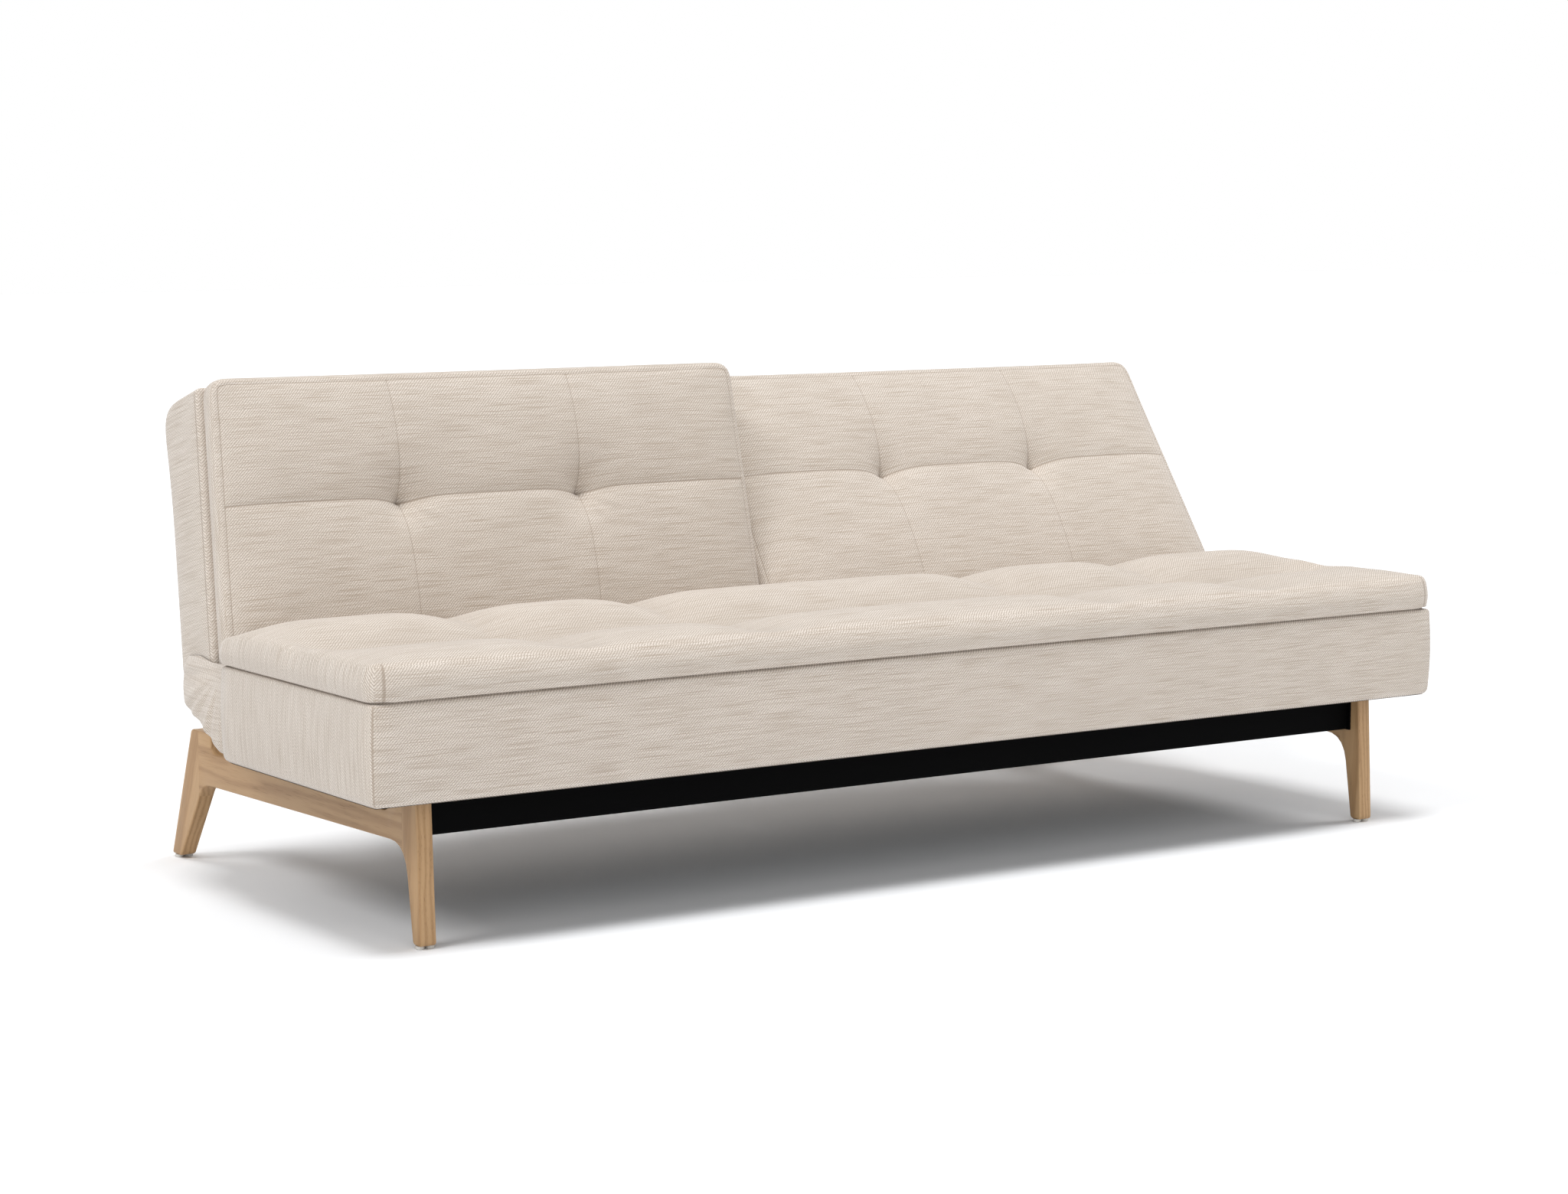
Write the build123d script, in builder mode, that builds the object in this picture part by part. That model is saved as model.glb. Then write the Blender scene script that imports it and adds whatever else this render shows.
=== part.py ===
"""Split-back sofa bed: tufted seat and two reclining backs on oak side frames and steel beams.

Millimetres. X runs along the sofa, Y from front to rear, Z up from the floor.
Depths in the profiles are measured from the seat's front face, heights from the floor.
Left and right are as seen from the front of the sofa. The left back stands upright,
the right one is reclined by one notch.
"""

import os
from math import cos, pi, radians, sin

from build123d import *

# Seat
seat_width = 2100
seat_underside = 226
seat_base_height = 162
seat_base_depth = 520
seat_corner = 16
seat_edge_round = 12
seat_face_crown = 3
welt_gap = 4
welt_inset = 10
seat_topper_height = 63
seat_topper_depth = 540
seat_topper_overlap = 2
seat_edge_drop = 8
seat_crown = 13
seat_seam_drop = 17
seat_tuft_drop = 31
seat_channel_rise = 3
seat_border_crown = 5
seat_row_seam = 265
seat_seams = (340, 680)
seat_border_round = 14
pillow_fullness = 0.6
pillow_shares = (0.12, 0.36, 0.64, 0.88)
soft_clearance = 0.3
cut_over = 1

# Inside the seat
seat_rear_wall = 25
frame_gap = 4
frame_side_gap = 5
frame_rim = 30
frame_bar = 30
frame_bar_height = 40
frame_end_gap = 45
dust_cover_room = 2
strap_width = 60
strap_thickness = 2
strap_count = 12

# Oak side frames
oak_thickness = 27
side_frame_inset = 111
glide_height = 5
glide_radius = 7
glide_sides = 16
glide_spacing = 17
glide_chamfer = 1
front_toe = 42
front_heel = 68
front_leg_top = 53
front_leg_knee = 91
front_leg_back = 100
rail_bottom_front = 154
rail_bottom_rear = 140
rail_top = 196
foot_reach = 936
rear_foot_length = 35
rear_leg_rake = 86
rear_leg_width = 77
rear_knee_ahead = 95
rear_riser_top = 228
front_joint = 98
rear_joint_ahead = 28
rear_shoulder = 150
rear_shoulder_behind = 5
oak_corner = 7
oak_edge_bevel = 3
zone_margin = 100
knee_round = 42
crotch_round = 14
riser_round = 20

# Steel beams
beam_bottom = 164
beam_depth = 40
beam_wall = 2.5
front_beam_face = 77
rear_beam_inset = 80
plate_thickness = 4
plate_margin = 6
plate_ear = 50
bolt_height = 180
bolt_radius = 4
bolt_sides = 6
bolt_length = 22
bolt_head_radius = 7
bolt_head_height = 5
bolt_hole_radius = 4.6
bolt_end_gap = 2
low_head_height = 3
seat_bolt_depth = 28
seat_bolt_back = 28

# Backs
recline_upright = 14.6
recline_lounge = 31.8
pivot_behind_seat = 107
face_offset = 76
back_topper_edge = 31
back_welt_gap = 14
back_welt_inset = 14
shell_depth = 123
shell_drop = 27
shell_top = 431
shell_flare = 18
shell_bow = 3
shell_slope = 5
shell_flare_start = 260
shell_corner = 30
back_end_inset = 22
back_taper = 0.07
split_gap = 6
back_topper_drop = 55
back_topper_top = 437
back_topper_inset = 4
back_crown = 13
back_seam_drop = 4
back_tuft_drop = 18
back_channel_rise = 1
back_border_crown = 5
back_border_seam = 3
back_row_seam = 227
back_seams = (340, 680)
back_edge_round = 30
back_border_round = 12

# Inside the backs
cavity_wall = 14
cavity_bottom = 30
cavity_top_wall = 31
cavity_end_wall = 64
cavity_inner_wall = 36
cover_thickness = 10
back_bar = 25
back_bar_depth = 30
back_strap_count = 5

# Hinges
outer_hinge_inset = 88
inner_hinge_x = 60
arm_thickness = 6
arm_width = 28
arm_length = 150
arm_eye = 24
eye_sides = 16
arm_bolt_places = (75, 128)
web_thickness = 6
web_eye = 20
drum_radius = 23
drum_thickness = 5
hinge_gap = 0.5
pin_radius = 7
pin_clearance = 0.05
pin_head_radius = 11
pin_head_thickness = 4
flange_thickness = 5
flange_width = 46
flange_margin = 3
flange_bolt_spacing = 30
web_foot_margin = 6
# Bends of the gooseneck web: how far in front of the hinge axis and how far below it
web_lower_bends = ((82, 129), (37, 93), (30, 63))
web_upper_bends = ((54, 71), (97, 107))
notch_front = 28
notch_rear = 66
notch_margin = 7
slot_margin = 3

# Fabric fold below the backs
fold_thickness = 3
fold_lead = 25
fold_lift = 3
fold_depth = 43
fold_back_in = 8
fold_end_gap = 3
fold_top = 372
fold_slope = 2
fold_open = 30

# Worked out from the sizes above
half_width = seat_width / 2
seat_front = -foot_reach / 2
rear_toe = foot_reach - rear_foot_length
rear_knee = rear_toe - rear_knee_ahead
rear_leg_top = foot_reach - rear_leg_rake
rear_riser = rear_leg_top - rear_leg_width
rear_joint = rear_leg_top - rear_joint_ahead
rear_shoulder_start = rear_riser + rear_shoulder_behind
rear_beam_face = seat_base_depth - rear_beam_inset
back_half_width = half_width - back_end_inset
outer_hinge_x = back_half_width - outer_hinge_inset
seat_base_top = seat_underside + seat_base_height
topper_bottom = seat_base_top + welt_gap
bed_level = topper_bottom + seat_topper_height
cavity_depth = seat_base_depth - seat_rear_wall
frame_bottom = seat_underside + dust_cover_room
frame_top = frame_bottom + frame_bar_height
strap_top = frame_top + soft_clearance + strap_thickness
frame_front = frame_rim + frame_gap
frame_rear = cavity_depth - flange_thickness - frame_gap
frame_half = half_width - frame_end_gap
side_frame_x = half_width - side_frame_inset
oak_inner = side_frame_x - oak_thickness / 2
oak_outer = side_frame_x + oak_thickness / 2
beam_height = seat_underside - beam_bottom
beam_half = oak_inner - plate_thickness
pivot_y = seat_base_depth + pivot_behind_seat
pivot_z = bed_level - face_offset
topper_rear = back_topper_edge - face_offset
shell_front = topper_rear + back_welt_gap
shell_rear = shell_front + shell_depth
cavity_front = shell_front + cavity_wall
back_reach = 2 * (shell_rear + shell_flare)
cavity_top = shell_top - cavity_top_wall
back_inner = split_gap / 2
cavity_inner = back_inner + cavity_inner_wall
cavity_outer = back_half_width - cavity_end_wall
strap_face = cavity_front + soft_clearance
bar_front = strap_face + strap_thickness + soft_clearance
reclines = {"left": recline_upright, "right": recline_lounge}
signs = {"left": -1, "right": 1}
hinge_places = (("outer", outer_hinge_x, 1), ("inner", inner_hinge_x, -1))
arm_bolt_spots = [(0, up) for up in arm_bolt_places]
bracket_places = {
    f"{name}_{place}": (side, x, outward)
    for name, side in signs.items()
    for place, x, outward in hinge_places
}
channels = [-x for x in reversed(seat_seams)] + list(seat_seams)
beam_faces = {"front": front_beam_face, "rear": rear_beam_face}
seat_bolt_spots = [
    (x, seat_front + face + seat_bolt_back) for x in channels for face in beam_faces.values()
]

os.makedirs("parts", exist_ok=True)


def save(piece, name):
    """Labels a finished piece and writes it."""
    piece.part.label = name
    export_step(piece.part, f"parts/{name}.step")


def side_plane(x):
    """The plane across the sofa at x: local x is the depth behind the seat's front, local y the height."""
    return Plane(origin=(x, seat_front, 0), x_dir=(0, 1, 0), z_dir=(1, 0, 0))


def back_plane(x, recline):
    """The plane across a back at x: local x runs rearwards from the hinge axis, local y up the back."""
    lean = radians(recline)
    return Plane(
        origin=(x, seat_front + pivot_y, pivot_z),
        x_dir=(0, cos(lean), -sin(lean)),
        z_dir=(1, 0, 0),
    )


def back_face_plane(recline):
    """The plane of a back's face through the hinge axis: local x is along the sofa, local y up the back."""
    lean = radians(recline)
    return Plane(
        origin=(0, seat_front + pivot_y, pivot_z),
        x_dir=(1, 0, 0),
        z_dir=(0, -cos(lean), sin(lean)),
    )


def back_point(recline, rearward, upward):
    """A point of a back, given from its hinge axis, as depth and height in a side plane."""
    lean = radians(recline)
    depth = pivot_y + rearward * cos(lean) + upward * sin(lean)
    height = pivot_z - rearward * sin(lean) + upward * cos(lean)
    return depth, height


def back_end(height):
    """Half the width of the backs at a height above the hinge axis: the outer ends lean inwards."""
    return back_half_width - back_taper * (height + shell_drop)


def low_x(side, inner, outer):
    """The lower X of a slab that runs from inner to outer on one side of the middle."""
    return inner if side > 0 else -outer


def web_span(side, x, outward):
    """Lowest and highest X of a hinge's fixed web, which lies beyond its moving arm."""
    near = x + outward * (arm_thickness + hinge_gap)
    far = near + outward * web_thickness
    ends = sorted((side * near, side * far))
    return ends[0], ends[1]


def arm_span(side, x, outward):
    """Lowest and highest X of a hinge's moving arm."""
    ends = sorted((side * x, side * (x + outward * arm_thickness)))
    return ends[0], ends[1]


def flange_plane(x, depth):
    """The plane of a bracket's flange at a depth: it faces the front, at half the seat frame's height."""
    return Plane(
        origin=(x, seat_front + depth, (frame_bottom + frame_top) / 2),
        x_dir=(1, 0, 0),
        z_dir=(0, -1, 0),
    )


# Seat base: an upholstered box with a raised welt on top and room below for its frame
with BuildPart() as seat_base:
    with BuildSketch(side_plane(-half_width)):
        with BuildLine():
            Line((0, seat_underside), (seat_base_depth, seat_underside))
            Line((seat_base_depth, seat_underside), (seat_base_depth, seat_base_top))
            Line((seat_base_depth, seat_base_top), (0, seat_base_top))
            middle = (seat_underside + seat_base_top) / 2
            ThreePointArc((0, seat_base_top), (-seat_face_crown, middle), (0, seat_underside))
        outline = make_face()
        fillet(outline.vertices(), seat_corner)
    extrude(amount=seat_width)
    ends = seat_base.faces().sort_by(Axis.X)
    fillet(ends[0].edges() + ends[-1].edges(), seat_edge_round)
    with BuildSketch(Plane.XY.offset(seat_base_top)):
        with Locations((0, seat_front + seat_base_depth / 2)):
            Rectangle(
                seat_width - 2 * (seat_edge_round + welt_inset),
                seat_base_depth - 2 * (seat_corner + welt_inset),
            )
    extrude(amount=welt_gap - soft_clearance)
    with BuildSketch(Plane.XY.offset(seat_underside)):
        with Locations((0, seat_front + (frame_rim + cavity_depth) / 2)):
            Rectangle(2 * (frame_half + frame_side_gap), cavity_depth - frame_rim)
    extrude(amount=strap_top + soft_clearance - seat_underside, mode=Mode.SUBTRACT)
    for side, x, outward in bracket_places.values():
        low, high = web_span(side, x, outward)
        with BuildSketch(side_plane(low - slot_margin)):
            with BuildLine():
                Polyline(
                    (cavity_depth - cut_over, frame_bottom),
                    (seat_base_depth + cut_over, frame_bottom),
                    (seat_base_depth + cut_over, frame_top + frame_bar),
                    (cavity_depth - cut_over, frame_top + frame_bar),
                    close=True,
                )
            make_face()
        extrude(amount=high - low + 2 * slot_margin, mode=Mode.SUBTRACT)
save(seat_base, "seat_base")


# Seat topper: two rows of pillows between sewn channels, a double-width pillow in the middle
def seat_section(x, edge, pillow, seam, shrink=0):
    """One cross-section of the seat topper, drawn from the height of its edge, pillows and row seam."""
    front = shrink - seat_topper_overlap
    rear = seat_topper_depth - shrink
    bottom = topper_bottom + shrink / 2
    bulge = (bottom + edge) / 2
    turn = seat_border_round
    seam_point = (seat_row_seam, seam)
    with BuildSketch(side_plane(x)) as section:
        with BuildLine():
            Line((rear - turn / 2, bottom), (front + turn / 2, bottom))
            ThreePointArc((front + turn / 2, bottom), (front, bulge), (front + turn, edge))
            ThreePointArc((front + turn, edge), ((front + seat_row_seam) / 2, pillow), seam_point)
            ThreePointArc(seam_point, ((rear + seat_row_seam) / 2, pillow), (rear - turn, edge))
            ThreePointArc((rear - turn, edge), (rear, bulge), (rear - turn / 2, bottom))
        make_face()
    return section.sketch


def pillow_swell(share):
    """How full a pillow stands at a share of its width: flat at the seams, full in the middle."""
    return sin(pi * share) ** pillow_fullness


def column(start, stop, full, share):
    """Edge, pillow and row-seam levels at a share of a pillow column's width, between two seams."""
    swell = pillow_swell(share)
    flat = [a + (b - a) * share for a, b in zip(start, stop)]
    return [low + (high - low) * swell for low, high in zip(flat, full)]


seat_edge = bed_level - seat_edge_drop
seat_seam = bed_level - seat_seam_drop
seat_full = (seat_edge, bed_level + seat_crown, seat_seam)
seat_channel = (seat_edge, seat_seam + seat_channel_rise, bed_level - seat_tuft_drop)
seat_border = (seat_edge, seat_edge + seat_border_crown, seat_seam)
seat_end = [level - seat_border_round for level in seat_border]
seat_cap = half_width - seat_border_round
seat_stations = [-seat_cap, *channels, seat_cap]
seat_levels = [seat_border] + [seat_channel] * len(channels) + [seat_border]
sections = [seat_section(-half_width, *seat_end, seat_border_round)]
for place in range(len(seat_stations) - 1):
    start, stop = seat_stations[place : place + 2]
    for share in (0, *pillow_shares):
        levels = column(*seat_levels[place : place + 2], seat_full, share)
        sections.append(seat_section(start + (stop - start) * share, *levels))
sections.append(seat_section(seat_cap, *seat_border))
sections.append(seat_section(half_width, *seat_end, seat_border_round))
with BuildPart() as seat_topper:
    loft(sections, ruled=True)
save(seat_topper, "seat_topper")

# Timber seat frame with cross bars under the sewn channels
with BuildPart() as seat_frame:
    with BuildSketch(Plane.XY.offset(frame_bottom)):
        with Locations((0, seat_front + (frame_front + frame_rear) / 2)):
            Rectangle(2 * frame_half, frame_rear - frame_front)
            inside = frame_rear - frame_front - 2 * frame_bar
            Rectangle(2 * (frame_half - frame_bar), inside, mode=Mode.SUBTRACT)
            with Locations(*[(x, 0) for x in channels]):
                Rectangle(frame_bar, inside)
    extrude(amount=frame_bar_height)
    for side, x, outward in bracket_places.values():
        with BuildSketch(flange_plane(sum(web_span(side, x, outward)) / 2, frame_rear)):
            with GridLocations(flange_bolt_spacing, 0, 2, 1):
                RegularPolygon(bolt_hole_radius, bolt_sides)
        extrude(amount=bolt_length, mode=Mode.SUBTRACT)
    with BuildSketch(Plane.XY.offset(frame_bottom)):
        with Locations(*seat_bolt_spots):
            RegularPolygon(bolt_hole_radius, bolt_sides)
    extrude(amount=seat_bolt_depth + bolt_end_gap, mode=Mode.SUBTRACT)
save(seat_frame, "seat_frame")

# Elastic straps stretched from front to rear over the seat frame
with BuildPart() as seat_straps:
    with BuildSketch(Plane.XY.offset(frame_top + soft_clearance)):
        with Locations((0, seat_front + (frame_front + frame_rear) / 2)):
            with GridLocations(2 * (frame_half - frame_bar) / strap_count, 0, strap_count, 1):
                Rectangle(strap_width, frame_rear - frame_front)
    extrude(amount=strap_thickness)
save(seat_straps, "seat_straps")

# Cloth that closes the seat from below
with BuildPart() as dust_cover:
    with BuildSketch(Plane.XY.offset(seat_underside + soft_clearance)):
        with Locations((0, seat_front + (frame_rim + cavity_depth) / 2)):
            Rectangle(
                2 * (frame_half + frame_side_gap - soft_clearance),
                cavity_depth - frame_rim - 2 * soft_clearance,
            )
        with Locations(*seat_bolt_spots):
            RegularPolygon(bolt_hole_radius, bolt_sides, mode=Mode.SUBTRACT)
    extrude(amount=dust_cover_room - 2 * soft_clearance)
save(dust_cover, "seat_dust_cover")

# Oak side frames: one outline, parted at the glue joints into two legs and a rail
outline_corners = (
    (front_toe, glide_height, oak_corner),
    (front_heel, glide_height, oak_corner),
    (front_leg_knee, rail_bottom_front, knee_round),
    (rear_knee, rail_bottom_rear, crotch_round),
    (rear_toe, glide_height, oak_corner),
    (foot_reach, glide_height, oak_corner),
    (rear_leg_top, rear_riser_top, oak_corner),
    (rear_riser, rear_riser_top, oak_corner),
    (rear_riser, rail_top, riser_round),
    (front_leg_back, rail_top, riser_round),
    (front_leg_back, seat_underside, oak_corner),
    (front_leg_top, seat_underside, oak_corner),
)
zone_low = -zone_margin
zone_rear = foot_reach + zone_margin
zone_high = rear_riser_top + zone_margin
oak_zones = {
    "front_leg": (
        (zone_low, zone_low),
        (front_joint, zone_low),
        (front_joint, zone_high),
        (zone_low, zone_high),
    ),
    "side_rail": (
        (front_joint, zone_low),
        (rear_shoulder_start, zone_low),
        (rear_shoulder_start, rear_shoulder),
        (rear_joint, rear_shoulder),
        (rear_joint, zone_high),
        (front_joint, zone_high),
    ),
    "rear_leg": (
        (rear_shoulder_start, zone_low),
        (zone_rear, zone_low),
        (zone_rear, zone_high),
        (rear_joint, zone_high),
        (rear_joint, rear_shoulder),
        (rear_shoulder_start, rear_shoulder),
    ),
}


def plate_bolt_depths(face):
    """Depths of the two bolts that hold a beam's end plate, in the ear behind the beam."""
    start = face + beam_depth
    return start + plate_ear / 3, start + plate_ear * 2 / 3


for name, side in signs.items():
    with BuildPart() as side_frame:
        with BuildSketch(side_plane(low_x(side, oak_inner, oak_outer))):
            with BuildLine():
                FilletPolyline(
                    *[(y, z) for y, z, _ in outline_corners],
                    radius=[corner for _, _, corner in outline_corners],
                    close=True,
                )
            make_face()
        extrude(amount=oak_thickness)
        faces = side_frame.faces().sort_by(Axis.X)
        chamfer(faces[0].edges() + faces[-1].edges(), oak_edge_bevel)
        inner_face = side_plane(side * oak_inner)
        with BuildSketch(inner_face):
            for face in beam_faces.values():
                with Locations(*[(y, bolt_height) for y in plate_bolt_depths(face)]):
                    RegularPolygon(bolt_hole_radius, bolt_sides)
        extrude(amount=side * (bolt_length - plate_thickness), mode=Mode.SUBTRACT)
    for piece_name, zone in oak_zones.items():
        with BuildPart() as oak_piece:
            add(side_frame.part)
            with BuildSketch(side_plane(low_x(side, oak_inner, oak_outer))):
                with BuildLine():
                    Polyline(*zone, close=True)
                make_face()
            extrude(amount=oak_thickness, mode=Mode.INTERSECT)
        save(oak_piece, f"{name}_{piece_name}")

# Two round glides under each foot
front_foot = (front_toe + front_heel) / 2
rear_foot = (rear_toe + foot_reach) / 2
with BuildPart() as foot_glides:
    with BuildSketch():
        for x in (-side_frame_x, side_frame_x):
            with Locations((x, seat_front + front_foot), (x, seat_front + rear_foot)):
                with GridLocations(glide_spacing, 0, 2, 1):
                    RegularPolygon(glide_radius, glide_sides)
    extrude(amount=glide_height)
    chamfer(foot_glides.faces().sort_by(Axis.Z)[:8].edges(), glide_chamfer)
save(foot_glides, "foot_glides")

# Rectangular steel beams from one side frame to the other
for name, face in beam_faces.items():
    with BuildPart() as beam:
        with BuildSketch(side_plane(-beam_half)):
            with Locations((face + beam_depth / 2, beam_bottom + beam_height / 2)):
                RectangleRounded(beam_depth, beam_height, 2 * beam_wall)
                Rectangle(beam_depth - 2 * beam_wall, beam_height - 2 * beam_wall, mode=Mode.SUBTRACT)
        extrude(amount=2 * beam_half)
        with BuildSketch(Plane.XY.offset(beam_bottom)):
            with Locations(*[(x, seat_front + face + seat_bolt_back) for x in channels]):
                RegularPolygon(bolt_hole_radius, bolt_sides)
        extrude(amount=beam_height, mode=Mode.SUBTRACT)
    save(beam, f"{name}_beam")
    for end_name, side in signs.items():
        with BuildPart() as end_plate:
            with BuildSketch(side_plane(low_x(side, beam_half, oak_inner))):
                depth = plate_margin + beam_depth + plate_ear
                with Locations((face - plate_margin + depth / 2, beam_bottom + beam_height / 2)):
                    Rectangle(depth, beam_height)
                with Locations(*[(y, bolt_height) for y in plate_bolt_depths(face)]):
                    RegularPolygon(bolt_hole_radius, bolt_sides, mode=Mode.SUBTRACT)
            extrude(amount=plate_thickness)
        save(end_plate, f"{end_name}_{name}_end_plate")

# Bolts through the end plates into the oak rails
with BuildPart() as frame_bolts:
    for side in signs.values():
        for face in beam_faces.values():
            spots = [(y, bolt_height) for y in plate_bolt_depths(face)]
            with BuildSketch(side_plane(side * beam_half)):
                with Locations(*spots):
                    RegularPolygon(bolt_radius, bolt_sides)
            extrude(amount=side * (bolt_length - bolt_end_gap))
            with BuildSketch(side_plane(side * beam_half)):
                with Locations(*spots):
                    RegularPolygon(bolt_head_radius, bolt_sides)
            extrude(amount=-side * bolt_head_height)
save(frame_bolts, "frame_bolts")

# Long bolts up through the beams into the cross bars of the seat frame
with BuildPart() as seat_bolts:
    with BuildSketch(Plane.XY.offset(beam_bottom)):
        with Locations(*seat_bolt_spots):
            RegularPolygon(bolt_radius, bolt_sides)
    extrude(amount=beam_height + dust_cover_room + seat_bolt_depth)
    with BuildSketch(Plane.XY.offset(beam_bottom)):
        with Locations(*seat_bolt_spots):
            RegularPolygon(bolt_head_radius, bolt_sides)
    extrude(amount=-low_head_height)
save(seat_bolts, "seat_bolts")

# Hinge brackets: a flange on the seat frame and a gooseneck web up to the hinge axis
eye_side = web_eye * cos(radians(45))
web_outline = (
    (frame_rear, frame_bottom + web_foot_margin),
    *[(pivot_y - forward, pivot_z - down) for forward, down in web_lower_bends],
    (pivot_y + eye_side, pivot_z - eye_side),
    (pivot_y - eye_side, pivot_z + eye_side),
    *[(pivot_y - forward, pivot_z - down) for forward, down in web_upper_bends],
    (frame_rear, frame_top - web_foot_margin),
)
for name, (side, x, outward) in bracket_places.items():
    low, high = web_span(side, x, outward)
    drum_low = high if side * outward > 0 else low - drum_thickness
    with BuildPart() as bracket:
        with BuildSketch(side_plane(low)):
            with BuildLine():
                Polyline(*web_outline, close=True)
            make_face()
            with Locations((pivot_y, pivot_z)):
                RegularPolygon(web_eye, eye_sides)
        extrude(amount=web_thickness)
        with BuildSketch(side_plane(drum_low)):
            with Locations((pivot_y, pivot_z)):
                RegularPolygon(drum_radius, eye_sides)
        extrude(amount=drum_thickness)
        with BuildSketch(flange_plane((low + high) / 2, frame_rear + flange_thickness)):
            Rectangle(flange_width, frame_bar_height - 2 * flange_margin)
            with GridLocations(flange_bolt_spacing, 0, 2, 1):
                RegularPolygon(bolt_hole_radius, bolt_sides, mode=Mode.SUBTRACT)
        extrude(amount=flange_thickness)
        with BuildSketch(side_plane(low - drum_thickness - cut_over)):
            with Locations((pivot_y, pivot_z)):
                Circle(pin_radius + pin_clearance)
        extrude(amount=web_thickness + 2 * (drum_thickness + cut_over), mode=Mode.SUBTRACT)
    save(bracket, f"{name}_hinge_bracket")

# Bolts that hold the brackets to the seat frame
with BuildPart() as bracket_bolts:
    for side, x, outward in bracket_places.values():
        head_face = flange_plane(sum(web_span(side, x, outward)) / 2, frame_rear + flange_thickness)
        with BuildSketch(head_face):
            with GridLocations(flange_bolt_spacing, 0, 2, 1):
                RegularPolygon(bolt_radius, bolt_sides)
        extrude(amount=bolt_length)
        with BuildSketch(head_face):
            with GridLocations(flange_bolt_spacing, 0, 2, 1):
                RegularPolygon(bolt_head_radius, bolt_sides)
        extrude(amount=-low_head_height)
save(bracket_bolts, "bracket_bolts")

# Hinge pins: headed on the drum side, with a collar inside the arm
with BuildPart() as hinge_pins:
    for side, x, outward in bracket_places.values():
        away = side * outward
        arm_inner = side * x
        shank = arm_thickness + hinge_gap + web_thickness + drum_thickness
        with BuildSketch(side_plane(arm_inner - away * soft_clearance)):
            with Locations((pivot_y, pivot_z)):
                Circle(pin_radius)
        extrude(amount=away * (shank + soft_clearance))
        with BuildSketch(side_plane(arm_inner + away * shank)):
            with Locations((pivot_y, pivot_z)):
                RegularPolygon(pin_head_radius, bolt_sides)
        extrude(amount=away * pin_head_thickness)
        with BuildSketch(side_plane(arm_inner - away * soft_clearance)):
            with Locations((pivot_y, pivot_z)):
                RegularPolygon(pin_head_radius, bolt_sides)
        extrude(amount=-away * pin_head_thickness)
save(hinge_pins, "hinge_pins")


# Backs
def shell_outline(plane):
    """Side outline of a back's upholstered shell, from the hinge axis."""
    flare_top = shell_top - shell_corner
    rear_low = (shell_rear, -shell_drop)
    flare_low = (shell_rear + shell_bow, shell_flare_start)
    flare_high = (shell_rear + shell_flare, flare_top)
    top_rear = (shell_rear + shell_flare - 1.3 * shell_corner, shell_top - shell_slope)
    with BuildSketch(plane) as outline:
        with BuildLine():
            Polyline(top_rear, (shell_front, shell_top), (shell_front, -shell_drop), rear_low, flare_low)
            flare_middle = (flare_low[0] + 0.3 * shell_flare, (shell_flare_start + flare_top) / 2)
            ThreePointArc(flare_low, flare_middle, flare_high)
            corner = (flare_high[0] - 0.25 * shell_corner, shell_top - 0.45 * shell_corner)
            ThreePointArc(flare_high, corner, top_rear)
        make_face()
    return outline.sketch


def back_trapezoid(plane, side, inner, outer_inset, bottom, top):
    """Front outline of a back, straight at the split and leaning inwards at the end."""
    with BuildSketch(plane) as outline:
        with BuildLine():
            Polyline(
                (side * inner, bottom),
                (side * (back_end(bottom) - outer_inset), bottom),
                (side * (back_end(top) - outer_inset), top),
                (side * inner, top),
                close=True,
            )
        make_face()
    return outline.sketch


def back_section(plane, edge, pillow, seam, shrink=0):
    """One cross-section of a back's topper, drawn from how far forward its parts stand."""
    rear = topper_rear - shrink / 2
    bottom = shrink - back_topper_drop
    top = back_topper_top - shrink
    low_turn = bottom + back_edge_round
    top_turn = top - back_edge_round * 0.7
    seam_point = (seam, back_row_seam)
    with BuildSketch(plane) as section:
        with BuildLine():
            Line((rear, top), (rear, bottom))
            ThreePointArc(
                (rear, bottom),
                (edge + 0.3 * (rear - edge), bottom + 0.3 * back_edge_round),
                (edge, low_turn),
            )
            ThreePointArc((edge, low_turn), (pillow, (low_turn + back_row_seam) / 2), seam_point)
            ThreePointArc(seam_point, (pillow, (top_turn + back_row_seam) / 2), (edge, top_turn))
            ThreePointArc(
                (edge, top_turn),
                (edge + 0.3 * (rear - edge), top - 0.2 * back_edge_round),
                (rear, top),
            )
        make_face()
    return section.sketch


def leaning_plane(side, x, recline, taper):
    """The plane across a back at x, whose upper part leans inwards by a taper."""
    lean = radians(recline)
    rearward = Vector(0, cos(lean), -sin(lean))
    upward = Vector(-side * taper, sin(lean), cos(lean)).normalized()
    origin = (side * x, seat_front + pivot_y, pivot_z)
    return Plane(origin=origin, x_dir=rearward, z_dir=rearward.cross(upward))


channel_edge = back_seam_drop - face_offset
back_full = (-face_offset, -face_offset - back_crown, channel_edge)
back_channel = (channel_edge, channel_edge - back_channel_rise, back_tuft_drop - face_offset)
back_border = (channel_edge, channel_edge - back_border_crown, channel_edge + back_border_seam)
back_outer = back_end(0) - back_topper_inset
back_stations = [back_inner + back_border_round, *back_seams, back_outer - back_border_round]
back_tapers = [0] * (len(back_stations) - 1) + [back_taper]
back_levels = [back_border] + [back_channel] * len(back_seams) + [back_border]


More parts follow.
